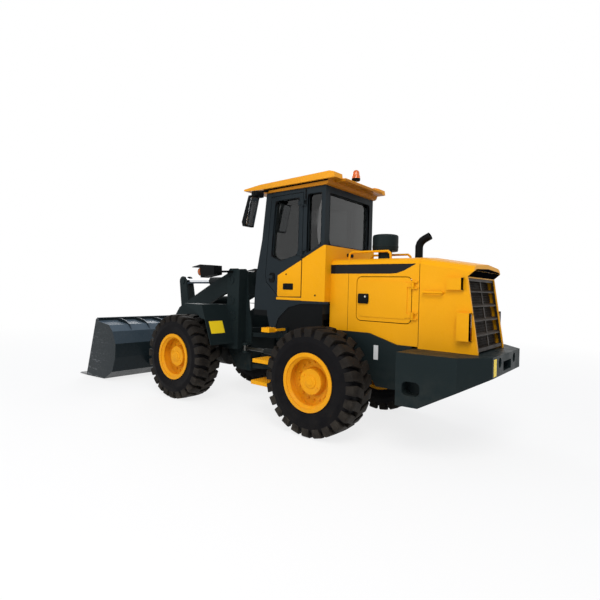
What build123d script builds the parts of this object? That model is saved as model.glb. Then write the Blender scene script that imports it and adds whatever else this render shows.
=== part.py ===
"""Articulated wheel loader: every subcomponent as its own STEP file, in millimetres.

+X points forward, +Y to the driver's left, +Z up; the origin is on the ground under the middle of the machine.
"""
import os
from math import cos, hypot, radians, sin
from build123d import *

# Overall layout
rear_overhang = 1945
wheelbase = 2650
front_reach = 2895
length = rear_overhang + wheelbase + front_reach
track = 1830
rear_x = -length / 2 + rear_overhang
front_x = rear_x + wheelbase
pivot_x = (rear_x + front_x) / 2
half_base = wheelbase / 2

# Clearances
run = 0.3
side_play = 3
panel_gap = 10

# Wheels
tyre_radius = 670
tyre_width = 445
rim_radius = 360
bead_radius = 330
rim_wall = 16
rim_flange = 14
rim_half = 200
hub_radius = 175
hub_out = 130
spindle_radius = 95
axle_z = tyre_radius
lug_count = 24
lug_depth = 40
lug_share = 0.62
lug_skew = 14

# Axles
axle_tube = 110
diff_radius = 225
diff_half = 170
brake_radius = 190
shaft_radius = 45
pad_height = 40
deck_z = axle_z + axle_tube + pad_height

# Rear frame
frame_half = 400
frame_plate = 30
frame_top = 1140
frame_low = 480
frame_front = pivot_x - 0.238 * half_base
frame_rear = rear_x - 1080
horn_gap = (785, 915)

# Centre hinge
pin_radius = 50
jaw_plate = 30
jaw_gap = 70
jaw_radius = 110
upper_hinge = 1050
lower_hinge = 550

# Steering cylinders
steer_z = 850
steer_base = (pivot_x - 0.68 * half_base, 500)
steer_eye = (pivot_x + 0.302 * half_base, 425)
steer_barrel = 45
steer_rod = 28

# Counterweight
weight_top = 1150
weight_bottom = 580
weight_half = 990
weight_break = 930
weight_corner = 580
weight_break_x = rear_x - 1700
weight_rear = -length / 2

# Engine bay
hood_half = 520
hood_skin = 12
hood_front = rear_x + 95
hood_seam = rear_x - 1120
hood_base = 1280
hood_shoulder = 2130
hood_crown = 2232
hood_fall = 0.16
lip_x = rear_x - 1722
brow_x = rear_x - 1655
foot_x = rear_x - 1781
brow_z = 1985
seam_gap = 8
rail_rise = 78
rail_top = hood_crown + rail_rise
door_back = rear_x - 1040
door_front = rear_x - 300
door_low = 1420
door_high = 1980
grille_half = 490
grille_bars = 4

# Cab
cab_half = 635
cab_wall = 45
cab_rear = rear_x + 130
floor_low = 1400
floor_top = 1480
cab_top = 3180
glass = 6
glass_lap = 15
roof_half = 700
hinge_x = rear_x + 488
hinge_out = 22
hinge_pin = 9
knuckle = 18
door_hinges = (2290, 2980)

# Front frame
tower_out = 500
tower_in = 300
tower_plate = 25
tower_rear = pivot_x + 0.381 * half_base
tower_top = 2100
wall_x = pivot_x + 0.298 * half_base
fender_out = 1000

# Loader gear
boom_y = 400
boom_plate = 60
boom_pin = (front_x - 0.483 * half_base, 1910)
lift_base = (front_x - 0.528 * half_base, 1340)
lift_eye = (front_x + 330, 1180)
bell_pin = (front_x + 977, 1044)
bell_top = (front_x + 1140, 1890)
bell_low = (front_x + 964, 458)
link_eye = (front_x + 1500, 685)
bucket_pin = (front_x + 1454, 349)
gear_pin = 45
link_pin = 32
lift_barrel = 60
lift_rod = 38
tilt_barrel = 75
tilt_rod = 45
bell_in = 60
bell_plate = 30
bucket_half = 1200
bucket_wall = 20
door_corner = 70
rail_radius = 15
blade_depth = 281
edge_x = front_x + front_reach - blade_depth
edge_thick = 30


# Shape helpers
def box(x0, x1, y0, y1, z0, z1):
    return Pos((x0 + x1) / 2, (y0 + y1) / 2, (z0 + z1) / 2) * Box(x1 - x0, y1 - y0, z1 - z0)


def side_plate(points, y0, y1):
    """A plate with a side outline of (x, z) points, from y0 to y1."""
    face = make_face(Polyline(*[(x, y0, z) for x, z in points], close=True))
    return extrude(face, amount=y1 - y0, dir=(0, 1, 0))


def flat_plate(points, z0, z1):
    """A plate with a plan outline of (x, y) points, from z0 to z1."""
    face = make_face(Polyline(*[(x, y, z0) for x, y in points], close=True))
    return extrude(face, amount=z1 - z0, dir=(0, 0, 1))


def bar(p, q, r):
    """A round bar from point p to point q."""
    p = Vector(*p)
    q = Vector(*q)
    return Plane(origin=p, z_dir=q - p) * Cylinder(r, (q - p).length, align=(Align.CENTER, Align.CENTER, Align.MIN))


def rounded(block, r):
    """A block with its edges along Y rounded."""
    return fillet(block.edges().filter_by(Axis.Y), r)


def tube(points, r):
    """A bent round bar with a ball at each bend."""
    runs = [bar(p, q, r) for p, q in zip(points, points[1:])]
    bends = [Pos(*p) * Sphere(r) for p in points[1:-1]]
    return joined(*runs, *bends)


def pin_y(at, r, y0, y1):
    return bar((at[0], y0, at[1]), (at[0], y1, at[1]), r)


def post(x, y, r, z0, z1):
    return bar((x, y, z0), (x, y, z1), r)


def tangent(p, rp, q, rq):
    """Corners of the straight flanks that join two circles."""
    d = hypot(q[0] - p[0], q[1] - p[1])
    ux = (q[0] - p[0]) / d
    uz = (q[1] - p[1]) / d
    s = (rp - rq) / d
    c = (1 - s * s) ** 0.5
    ring = []
    for centre, r, k in ((p, rp, 1), (q, rq, 1), (q, rq, -1), (p, rp, -1)):
        ring.append((centre[0] + r * (ux * s - uz * c * k), centre[1] + r * (uz * s + ux * c * k)))
    return ring


def arm(p, rp, q, rq, y0, y1):
    """A tapered arm with round ends, seen from the side."""
    return side_plate(tangent(p, rp, q, rq), y0, y1) + pin_y(p, rp, y0, y1) + pin_y(q, rq, y0, y1)


def across(shape):
    """The same piece on the machine's other side."""
    return mirror(shape, about=Plane.XZ)


def pair(shape):
    return [shape, across(shape)]


def joined(*shapes):
    first = shapes[0]
    return first.fuse(*shapes[1:]).clean() if len(shapes) > 1 else first


def solids_of(shape):
    if isinstance(shape, (list, tuple, ShapeList)):
        return [s for piece in shape for s in solids_of(piece)]
    return list(shape.solids())


def save(name, *shapes):
    export_step(Compound(children=solids_of(shapes)), f"parts/{name}.step")


def ring_y(points, x, y):
    """A solid of revolution about a wheel axis, from (radius, offset) points."""
    face = make_face(Polyline(*[(x + r, y + o, axle_z) for r, o in points], close=True))
    return revolve(face, axis=Axis((x, y, axle_z), (0, 1, 0)))


# Wheels
def lugs(x, side):
    """The tread blocks of one half of a tyre; the other half's fall into their gaps."""
    pitch = 360 / lug_count
    wide = lug_share * radians(pitch) * tyre_radius
    ends = (0.13 * tyre_width / 2, 0.955 * tyre_width / 2)
    middle = (ends[0] + ends[1]) / 2
    lean = sin(radians(lug_skew)) * (ends[1] - ends[0]) / 2
    top = (tyre_radius ** 2 - (wide / 2 + lean) ** 2) ** 0.5
    block = box(-wide / 2, wide / 2, ends[0], ends[1], tyre_radius - 2 * lug_depth, top)
    block = Pos(0, middle, 0) * Rot(0, 0, lug_skew) * Pos(0, -middle, 0) * block
    if side < 0:
        block = across(block)
    turn = 0.5 if side < 0 else 0
    at = Pos(x, track / 2, axle_z)
    return [at * Rot(0, (i + turn) * pitch, 0) * block for i in range(lug_count)]


def tyre(x):
    half = tyre_width / 2
    bead = bead_radius + run
    seat_edge = rim_half - side_play
    crown = tyre_radius - lug_depth
    wall = [(rim_radius + 5, seat_edge), (rim_radius + 15, rim_half + 2), (tyre_radius * 0.76, half),
            (tyre_radius * 0.89, half * 0.985), (crown, half * 0.80)]
    outline = [(bead, -seat_edge)] + [(r, -o) for r, o in wall] + wall[::-1] + [(bead, seat_edge)]
    return joined(ring_y(outline, x, track / 2), *lugs(x, 1), *lugs(x, -1))


def rim(x):
    bore = spindle_radius + run
    inner = bead_radius - rim_wall
    lip = rim_half + rim_flange
    outline = [(bore, -60), (hub_radius, -60), (hub_radius, 10), (inner, 10), (inner, -lip), (rim_radius, -lip),
               (rim_radius, -rim_half), (bead_radius, -rim_half), (bead_radius, rim_half), (rim_radius, rim_half),
               (rim_radius, lip), (inner, lip), (inner, 42), (hub_radius, 42), (hub_radius - 20, hub_out),
               (0, hub_out), (0, hub_out - 40), (bore, hub_out - 40)]
    return ring_y(outline, x, track / 2)


def axle(x):
    """Axle housing with its differential, brakes, spindles and frame pads."""
    out = track / 2
    tube = bar((x, -out + 75, axle_z), (x, out - 75, axle_z), axle_tube)
    spindle = bar((x, -out - 80, axle_z), (x, out + 80, axle_z), spindle_radius)
    diff = bar((x - diff_half, 0, axle_z), (x + diff_half, 0, axle_z), diff_radius)
    nose = bar((x - diff_half - 70, 0, axle_z), (x + diff_half + 70, 0, axle_z), shaft_radius + 35)
    brake = bar((x, out - 200, axle_z), (x, out - 75, axle_z), brake_radius)
    pad = box(x - 130, x + 130, tower_in, tower_out, axle_z, deck_z)
    return joined(tube, spindle, diff, nose, *pair(brake), *pair(pad))


# Rear frame
def side_rail():
    """One rear frame plate, forked at the front round the steering cylinder."""
    outline = [(frame_rear, 640), (frame_rear, frame_top), (frame_front, frame_top), (frame_front, frame_low),
               (pivot_x - 0.577 * half_base, frame_low), (pivot_x - 0.721 * half_base, deck_z), (rear_x - 450, deck_z),
               (rear_x - 600, 640)]
    plate = side_plate(outline, frame_half - frame_plate, frame_half)
    return plate - box(pivot_x - 0.528 * half_base, frame_front + 1, 0, frame_half + 1, *horn_gap)


def jaws(z):
    """Two rear jaw plates that hold a hinge pin, one above and one below the front lug."""
    found = []
    for z0 in (z - jaw_gap / 2 - jaw_plate, z + jaw_gap / 2):
        z1 = z0 + jaw_plate
        outline = [(frame_front - 30, -330), (pivot_x, -jaw_radius), (pivot_x, jaw_radius), (frame_front - 30, 330)]
        found.append(flat_plate(outline, z0, z1) + post(pivot_x, 0, jaw_radius, z0, z1))
    return found


def hinge_span(z):
    return (z - jaw_gap / 2 - jaw_plate, z + jaw_gap / 2 + jaw_plate)


def steer_lugs(at, wall):
    """Lugs above and below a steering cylinder eye, carried by a vertical wall plate."""
    found = []
    for z0 in (steer_z - 75, steer_z + 45):
        found.append(box(at[0] - 45, at[0] + 45, wall, at[1], z0, z0 + 30) + post(at[0], at[1], 45, z0, z0 + 30))
    return found


def rear_frame():
    inner = frame_half - frame_plate
    rails = pair(side_rail())
    walls = [box(frame_front - 30, frame_front, -inner, inner, horn_gap[1], frame_top),
             box(frame_front - 30, frame_front, -inner, inner, frame_low, horn_gap[0])]
    tail = box(frame_rear, frame_rear + 30, -inner, inner, 640, frame_top)
    beams = [box(rear_x + x, rear_x + x + 120, -inner, inner, 900, 960) for x in (-880, -420)]
    rest = box(rear_x + 670, rear_x + 790, -inner, inner, frame_low, frame_low + 60)
    mounts = []
    for x in (rear_x + 300, rear_x + 880):
        mounts += pair(box(x - 60, x + 60, frame_half - 90, frame_half, frame_top - 60, floor_low))
    lugs = [pair(lug) for lug in steer_lugs(steer_base, frame_half - frame_plate)]
    pins = [post(pivot_x, 0, pin_radius, *hinge_span(z)) for z in (upper_hinge, lower_hinge)]
    eye_pin = pair(post(*steer_base, 28, steer_z - 75, steer_z + 75))
    solid = joined(*rails, *walls, tail, *beams, rest, *mounts, *jaws(upper_hinge), *jaws(lower_hinge),
                   *[s for both in lugs for s in both], *pins, *eye_pin)
    return solid - bar((frame_front - 200, 0, axle_z), (frame_front + 200, 0, axle_z), shaft_radius + 35)


def counterweight():
    plan = [(frame_rear, -weight_half), (weight_break_x, -weight_break), (weight_rear, -weight_corner),
            (weight_rear, weight_corner), (weight_break_x, weight_break), (frame_rear, weight_half)]
    block = flat_plate(plan, weight_bottom, weight_top)
    under = side_plate([(rear_x - 1320, weight_bottom - 1), (weight_rear - 1, weight_bottom - 1), (weight_rear - 1, 930),
                        (weight_rear, 930), (rear_x - 1690, 790), (rear_x - 1320, weight_bottom)], -weight_half - 1,
                       weight_half + 1)
    front = box(frame_rear - 1, frame_rear + 400, -weight_half, weight_half, weight_bottom - 1, weight_top + 1)
    slot = box(weight_rear - 1, weight_rear + 220, -165, 165, 968, 1070)
    hitch = post(weight_rear + 110, 0, 25, 900, weight_top + 1)
    recess = pair(rounded(box(rear_x - 1340, rear_x - 1150, weight_half - 160, weight_half + 60, 700, 850), 50))
    holes = pair(bar((weight_rear - 1, 300, 1071), (weight_rear + 70, 300, 1071), 55))
    return block - under - front - slot - hitch - recess[0] - recess[1] - holes[0] - holes[1]


def tanks():
    """Fuel and oil tanks outside the frame plates; the hood stands on them."""
    low = weight_top + 20
    outline = [(frame_rear + 20, 640), (frame_rear + 20, low), (rear_x - 870, low), (rear_x - 500, hood_base),
               (rear_x - 60, hood_base), (rear_x - 60, deck_z + 250), (rear_x - 450, deck_z + 60), (rear_x - 620, 640)]
    return pair(side_plate(outline, frame_half, hood_half + 30))


# Engine bay
def engine():
    block = box(rear_x - 950, rear_x - 150, -270, 270, 960, 1500)
    head = box(rear_x - 900, rear_x - 220, -150, 150, 1500, 1750)
    fan = bar((rear_x - 1010, 0, 1450), (rear_x - 950, 0, 1450), 240)
    return joined(block, head, fan)


def gearbox():
    case = box(rear_x + 330, rear_x + 800, -240, 240, frame_low + 60, 1060)
    bell = bar((rear_x - 150, 0, 1090), (rear_x + 420, 0, 1090), 160)
    return joined(case, bell)


def radiator():
    return box(rear_x - 1330, rear_x - 1200, -430, 430, weight_top, 1930)


def hood_section(x0, x1, inset, base, fall=0):
    """A hood length between two X values, shrunk by an inset, its rear end lower by a fall."""
    i = inset
    edge = [(hood_half - i, base), (hood_half - i, hood_shoulder - 0.2 * i),
            (hood_half - 14 - 0.9 * i, hood_shoulder + 30 - 0.4 * i),
            (hood_half - 45 - 0.6 * i, hood_shoulder + 58 - 0.8 * i), (hood_half - 100 - 0.3 * i, hood_shoulder + 76 - i)]
    pts = [(-y, z) for y, z in edge] + [(0, hood_crown - i)] + edge[::-1]
    face = make_face(Polyline(*[(x1, y, z) for y, z in pts], close=True))
    return extrude(face, amount=hypot(x1 - x0, fall), dir=(x0 - x1, 0, -fall))


def hood_foot(x0, x1):
    """What is taken off under the hood's stepped lower edge."""
    low = weight_top + 20
    outline = [(x0 - 1, low), (rear_x - 870, low), (rear_x - 500, hood_base), (x1 + 1, hood_base), (x1 + 1, 900),
               (x0 - 1, 900)]
    return side_plate(outline, -hood_half - 200, hood_half + 200)


def hood_shell():
    outer = hood_section(hood_seam, hood_front, 0, 1000)
    inner = hood_section(hood_seam - 1, hood_front - hood_skin, hood_skin, 999)
    shell = outer - inner - hood_foot(hood_seam, hood_front)
    hole = rounded(box(door_back, door_front, -hood_half - 1, hood_half + 1, door_low, door_high), door_corner)
    knuckles = []
    for z in (door_low + 100, door_high - 100):
        knuckles += pair(leaf_fixed(door_back - 14, hood_half, z))
    groove = hood_section(rear_x - 183, rear_x - 177, 0, 1000) - hood_section(rear_x - 190, rear_x - 170, 4, 999)
    open_shell = shell - hole - groove - post(rear_x - 890, 0, 60, 2100, 2400)
    return joined(open_shell, *knuckles)


def hood_rails():
    """Two low hand rails that stand on the hood top."""
    hood = hood_section(hood_seam, hood_front, 0, 1000)
    line = [(rear_x - 40, 300, 2150), (rear_x - 55, 300, rail_top - 30), (rear_x - 90, 300, rail_top),
            (rear_x - 610, 300, rail_top), (rear_x - 645, 300, rail_top - 30), (rear_x - 660, 300, 2150)]
    return pair(tube(line, rail_radius) - hood)


def leaf_fixed(x, y, z):
    """Fixed half of a vertical hinge: two ears and their pin, on a wall whose face is at y."""
    ears = []
    for z0 in (z - 44, z + 28):
        ears.append(box(x - 55, x + 10, y - 5, y + hinge_out, z0, z0 + 16) + post(x, y + hinge_out, knuckle, z0, z0 + 16))
    return joined(*ears, post(x, y + hinge_out, hinge_pin, z - 44, z + 44))


def leaf_moving(x, y, z):
    """Moving half of a vertical hinge: a knuckle with an arm along the door's face."""
    tube = post(x, y + hinge_out, knuckle, z - 25, z + 25)
    strap = box(x, x + 90, y + 2, y + 12, z - 25, z + 25)
    foot = box(x + 24, x + 90, y - 3, y + 12, z - 25, z + 25)
    return joined(tube, strap, foot) - post(x, y + hinge_out, hinge_pin + run, z - 26, z + 26)


def hood_door():
    gap = panel_gap
    plate = box(door_back + gap, door_front - gap, hood_half - hood_skin, hood_half, door_low + gap, door_high - gap)
    plate = rounded(plate, door_corner - gap)
    frame = rounded(box(door_back + 60, door_front - 60, hood_half, hood_half + 8, door_low + 60, door_high - 60), 40)
    latch = box(door_front - 110, door_front - 70, hood_half, hood_half + 20, 1640, 1760)
    leaves = [leaf_moving(door_back - 14, hood_half, z) for z in (door_low + 100, door_high - 100)]
    return joined(plate, frame, latch, *leaves)


def hood_tail(inset):
    """Side outline of the hood's rear end, with a lip over the grille when it is not inset."""
    i = inset
    top = [(brow_x + i, 2400)] if i else [(lip_x, 2400), (lip_x, brow_z + 60)]
    return [(hood_seam + i, 1000 - i), (hood_seam + i, 2400), *top, (brow_x + i, brow_z), (foot_x + i, weight_top + 20),
            (foot_x + i, 1000 - i)]


def hood_end(x, inset):
    """The hood's rear length up to an X, falling to the rear."""
    back = rear_x - 1900
    return hood_section(back, x, inset, 900, hood_fall * (x - back)) & side_plate(hood_tail(inset), -hood_half, hood_half)


def hood_rear():
    inner = hood_end(hood_seam + 1, hood_skin)
    inner = inner + box(hood_seam - 20, hood_seam + 1, -hood_half + hood_skin, hood_half - hood_skin, 900, hood_shoulder - 20)
    foot = box(rear_x - 2000, hood_seam + 1, -hood_half - 1, hood_half + 1, 700, weight_top)
    window = box(rear_x - 2000, rear_x - 1600, -grille_half, grille_half, weight_top - 1, brow_z - 15)
    groove = box(hood_seam - seam_gap, hood_seam + 1, -hood_half - 1, hood_half + 1, 900, 2400)
    groove = groove - hood_section(hood_seam - 60, hood_seam + 2, 5, 800)
    shell = hood_end(hood_seam, 0) - inner - foot - window - groove
    pods = pair(box(rear_x - 1602, rear_x - 1447, hood_half - 5, hood_half + 40, 1836, 1968))
    boxes = pair(box(rear_x - 1702, rear_x - 1573, hood_half - 5, hood_half + 70, 1290, 1590))
    handle = [bar((rear_x - 1180, hood_half + 40, 1800), (rear_x - 1410, hood_half + 40, 1800), 12),
              bar((rear_x - 1190, hood_half - 5, 1800), (rear_x - 1190, hood_half + 40, 1800), 12),
              bar((rear_x - 1400, hood_half - 5, 1800), (rear_x - 1400, hood_half + 40, 1800), 12)]
    return joined(shell, *pods, *boxes, *[h for piece in handle for h in pair(piece)])


def grille_x(z):
    """Inner face of the hood's slanted rear wall at a height."""
    return brow_x + hood_skin + run + (foot_x - brow_x) * (brow_z - z) / (brow_z - weight_top - 20)


def grille():
    """Slanted frame with flat bars and a middle post behind the hood's rear opening."""
    low = weight_top + 24
    high = brow_z - 12
    face = [(grille_x(low), low), (grille_x(high), high), (grille_x(high) + 25, high), (grille_x(low) + 25, low)]
    plate = side_plate(face, -grille_half - 12, grille_half + 12)
    hole = box(rear_x - 1900, rear_x - 1500, -grille_half + 16, grille_half - 16, low + 36, high - 36)
    step = (high - low) / (grille_bars + 1)
    bars = []
    for i in range(grille_bars):
        z = low + (i + 1) * step
        flat = [(grille_x(z) + 2, z), (grille_x(z) + 2, z + 14), (grille_x(z) + 44, z + 34), (grille_x(z) + 44, z + 20)]
        bars.append(side_plate(flat, -grille_half, grille_half))
    post_line = [(grille_x(low) + 14, low), (grille_x(high) + 14, high), (grille_x(high) + 25, high), (grille_x(low) + 25, low)]
    return joined(plate - hole, *bars, side_plate(post_line, -18, 18))


def air_cleaner():
    base = hood_crown - 60
    bowl = bar((rear_x - 420, 0, 2330), (rear_x - 420, 0, 2555), 170)
    neck = bar((rear_x - 420, 0, base), (rear_x - 420, 0, 2340), 90)
    cut = hood_section(hood_seam, hood_front, 0, 1000)
    return joined(bowl, neck) - cut


def exhaust():
    x = rear_x - 890
    line = [(x, 0, 1750), (x, 0, 2380), (x - 12, 0, 2420), (x - 40, 0, 2455), (x - 80, 0, 2480), (x - 140, 0, 2510)]
    return tube(line, 48) - bar((x - 60, 0, 2470), (x - 150, 0, 2515), 40)


def rear_lamps():
    high = box(rear_x - 1612, rear_x - 1602, hood_half + 2, hood_half + 38, 1848, 1958)
    low = box(rear_x - 1712, rear_x - 1702, hood_half + 5, hood_half + 62, 1305, 1575)
    return [*pair(high), *pair(low)]


# Cab
cab_front = [(rear_x + 1365, floor_top), (rear_x + 1360, 1660), (rear_x + 1340, 1990), (rear_x + 1240, 2510),
             (rear_x + 1170, cab_top)]
door_edge = [(rear_x + 500, 1700), (rear_x + 900, 1690), (rear_x + 1130, 1890), (rear_x + 1150, 2000),
             (rear_x + 1115, 2500), (rear_x + 1065, 3110), (rear_x + 500, 3120)]
door_window = [(rear_x + 565, 2270), (rear_x + 880, 2190), (rear_x + 1055, 2260), (rear_x + 1040, 2500),
               (rear_x + 995, 3050), (rear_x + 565, 3060)]
quarter = [(rear_x + 190, 2400), (rear_x + 420, 2285), (rear_x + 420, 3090), (rear_x + 190, 3090)]


def window_plate(points, by, y0, y1):
    """A side outline grown by a distance and made into a plate."""
    flat = make_face(Polyline(*[(x, z) for x, z in points], close=True))
    if by:
        flat = offset(flat, by, kind=Kind.INTERSECTION)
    plane = Plane(origin=(0, y0, 0), x_dir=(1, 0, 0), z_dir=(0, -1, 0))
    return extrude(plane * flat, amount=y1 - y0, dir=(0, 1, 0))


def cab_floor():
    """Floor slab with a skirt down each side behind the wheel."""
    slab = box(cab_rear, rear_x + 1365, -cab_half, cab_half, floor_low, floor_top)
    skirt = [(cab_rear, floor_low + 5), (cab_rear, 1180), (rear_x + 940, 1180), (rear_x + 879, 1379), (rear_x + 860, floor_low + 5)]
    return joined(slab, *pair(side_plate(skirt, cab_half - 25, cab_half)))


def cab_frame():
    inner_half = cab_half - cab_wall
    outline = [(cab_rear, floor_top), *cab_front, (cab_rear, cab_top)]
    outer = side_plate(outline, -cab_half, cab_half)
    room = [(cab_rear + cab_wall, floor_top - 1)] + [(x - cab_wall, z) for x, z in cab_front]
    room[1] = (room[1][0], floor_top - 1)
    room[-1] = (room[-1][0], cab_top - cab_wall)
    room.append((cab_rear + cab_wall, cab_top - cab_wall))
    shell = outer - side_plate(room, -inner_half, inner_half)
    screen = box(rear_x + 950, rear_x + 1500, -inner_half + 40, inner_half - 40, 1700, cab_top - 90)
    back = box(cab_rear - 50, cab_rear + 100, -inner_half + 60, inner_half - 60, 2400, cab_top - 90)
    shell = shell - screen - back
    for y0, y1 in ((inner_half - 1, cab_half + 1), (-cab_half - 1, -inner_half + 1)):
        shell = shell - window_plate(door_edge, panel_gap, y0, y1) - window_plate(quarter, 0, y0, y1)
    hinges = []
    for z in door_hinges:
        hinges += pair(leaf_fixed(hinge_x, cab_half, z))
    return joined(shell, *hinges)


def cab_door():
    inner_half = cab_half - cab_wall
    slab = window_plate(door_edge, 0, inner_half, cab_half) - window_plate(door_window, 0, inner_half - 1, cab_half + 1)
    handle = box(rear_x + 1000, rear_x + 1090, cab_half, cab_half + 25, 1940, 1985)
    leaves = [leaf_moving(hinge_x, cab_half, z) for z in door_hinges]
    return joined(slab, handle, *leaves)


def door_glass():
    inner_half = cab_half - cab_wall
    return window_plate(door_window, glass_lap, inner_half - glass, inner_half)


def cab_glass():
    inner_half = cab_half - cab_wall
    line = [(x - cab_wall, z) for x, z in cab_front]
    line[4] = (line[4][0], cab_top - cab_wall)
    low = 1660 + 25
    high = cab_top - 75
    top_x = line[3][0] + (line[4][0] - line[3][0]) * (high - line[3][1]) / (line[4][1] - line[3][1])
    low_x = line[1][0] + (line[2][0] - line[1][0]) * (low - line[1][1]) / (line[2][1] - line[1][1])
    face = [(low_x, low), line[2], line[3], (top_x, high)]
    back_face = [(x - glass, z) for x, z in reversed(face)]
    screen = side_plate(face + back_face, -inner_half + 25, inner_half - 25)
    rear = box(cab_rear + cab_wall, cab_rear + cab_wall + glass, -inner_half + 45, inner_half - 45, 2385, cab_top - 75)
    corner = window_plate(quarter, glass_lap, inner_half - glass, inner_half)
    return [screen, rear, *pair(corner)]


def cab_roof():
    """Lower rim on the cab, and a wider top panel with raised side rails."""
    rim_pts = [(rear_x + 90, cab_top + 10), (rear_x + 120, cab_top), (rear_x + 1200, cab_top), (rear_x + 1230, cab_top + 82),
               (rear_x + 60, cab_top + 82)]
    rim_slab = side_plate(rim_pts, -roof_half + 40, roof_half - 40)
    top_pts = [(rear_x - 20, cab_top + 72), (rear_x + 1300, cab_top + 60), (rear_x + 1580, cab_top + 72), (rear_x + 1580, cab_top + 88),
               (rear_x + 1300, cab_top + 110), (rear_x, cab_top + 110)]
    top = side_plate(top_pts, -roof_half + 150, roof_half - 150)
    rail_pts = [(rear_x - 40, cab_top + 70), (rear_x + 1300, cab_top + 56), (rear_x + 1580, cab_top + 72), (rear_x + 1580, cab_top + 96),
                (rear_x + 1250, cab_top + 130), (rear_x + 40, cab_top + 160), (rear_x - 30, cab_top + 140)]
    rails = pair(side_plate(rail_pts, roof_half - 200, roof_half))
    tail = box(rear_x - 90, rear_x + 100, -roof_half + 190, roof_half - 190, cab_top + 45, cab_top + 82)
    return joined(rim_slab, top, *rails, tail)


def side_panels():
    """Outer panels between the cab door, the wheel arch and the hood, joined across the cab's rear."""
    skin = 15
    low = 1640
    high = 2384
    back = hood_front + 2
    outline = [(back, low), (rear_x + 478, low), (rear_x + 478, high - 176), (cab_rear, high), (back, high)]
    plates = pair(side_plate(outline, cab_half, cab_half + skin))
    rear = box(back, cab_rear, -cab_half - skin, cab_half + skin, low, high)
    return joined(*plates, rear)


def arch_panels():
    outline = [(rear_x + 40, 1640), (rear_x + 480, 1640), (rear_x + 900, 1640), (rear_x + 1090, 1480),
               (rear_x + 1090, 1417), (rear_x + 1010, 1160), (rear_x + 960, 1160), (rear_x + 879, 1379),
               (rear_x + 700, 1540), (rear_x + 480, 1600), (rear_x + 40, 1610)]
    return pair(side_plate(outline, cab_half, cab_half + 15))


def seat_base():
    """Seat pedestal, pan, back plate and arm rests."""
    base = box(rear_x + 480, rear_x + 800, -180, 180, floor_top, 1770)
    pan = box(rear_x + 430, rear_x + 900, -230, 230, 1770, 1800)
    plate = side_plate([(rear_x + 400, 1770), (rear_x + 430, 1770), (rear_x + 340, 2480), (rear_x + 310, 2480)], -200, 200)
    rests = pair(box(rear_x + 370, rear_x + 760, 240, 290, 2090, 2130))
    brackets = pair(box(rear_x + 360, rear_x + 395, 150, 290, 2090, 2130))
    return joined(base, pan, plate, *rests, *brackets)


def seat_cushions():
    cushion = box(rear_x + 455, rear_x + 930, -235, 235, 1800, 1920)
    back = side_plate([(rear_x + 409, 1930), (rear_x + 540, 1930), (rear_x + 462, 2520), (rear_x + 336, 2520)], -225, 225)
    return [cushion, back - seat_base()]


def steering_column():
    foot = box(rear_x + 1060, rear_x + 1200, -110, 110, floor_top, 1600)
    stalk = bar((rear_x + 1130, 0, 1560), (rear_x + 998, 0, 2170), 45)
    wheel = Plane(origin=(rear_x + 990, 0, 2200), z_dir=(-0.35, 0, 1)) * Torus(190, 16)
    spokes = Plane(origin=(rear_x + 990, 0, 2200), z_dir=(-0.35, 0, 1)) * Box(24, 376, 14)
    boss = Plane(origin=(rear_x + 993, 0, 2190), z_dir=(-0.35, 0, 1)) * Cylinder(50, 70)
    return joined(foot, stalk, boss, spokes, wheel)


def beacon():
    """Domed lens on a thin stem with a foot plate."""
    x = rear_x + 60
    stem = post(x, 0, 14, cab_top + 60, cab_top + 190) + post(x, 0, 45, cab_top + 60, cab_top + 120)
    lens = post(x, 0, 60, cab_top + 180, cab_top + 260) + Pos(x, 0, cab_top + 260) * Sphere(60)
    return joined(stem, lens) - cab_roof()


def mirrors():
    head = side_plate([(rear_x + 1105, cab_top - 100), (rear_x + 1150, cab_top - 100), (rear_x + 1270, cab_top - 460), (rear_x + 1250, cab_top - 520),
                       (rear_x + 1205, cab_top - 520)], 860, 1040)
    stay = tube([(rear_x + 1130, 600, cab_top + 35), (rear_x + 1130, 950, cab_top - 30), (rear_x + 1130, 950, cab_top - 130)], 14)
    return pair(joined(head, stay) - cab_roof())


def step_boxes():
    return pair(box(rear_x + 690, frame_front, frame_half - 5, 640, frame_low, 690))


def ladder():
    """Three steps on a string that stands on the step box."""
    steps = [box(rear_x + 760, rear_x + 900, 830, 970, 1200, 1260), box(rear_x + 730, rear_x + 770, 650, 850, 1215, 1245)]
    for x0, x1, z0, z1 in ((760, 1070, 468, 520), (720, 1050, 770, 820)):
        steps.append(box(rear_x + x0, rear_x + x1, 656, 970, z0, z1))
    string = side_plate([(rear_x + 720, 468), (rear_x + 800, 468), (rear_x + 770, 1260), (rear_x + 700, 1260)], 640, 660)
    return joined(*steps, string)


# Front frame
def tower_outline(rear, low):
    """Side outline of a tower plate, sloping forward to the axle."""
    bx = front_x
    brow = bx - 0.408 * half_base
    return [(rear, low), (tower_rear, tower_top - 40), (tower_rear + 50, tower_top), (brow - 60, tower_top),
            (brow, tower_top - 60), (brow - 20, 1540), (bx - 300, 1380), (bx + 250, 1060), (bx + 250, deck_z),
            (bx - 400, deck_z), (bx - 0.468 * half_base, low)]


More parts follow.
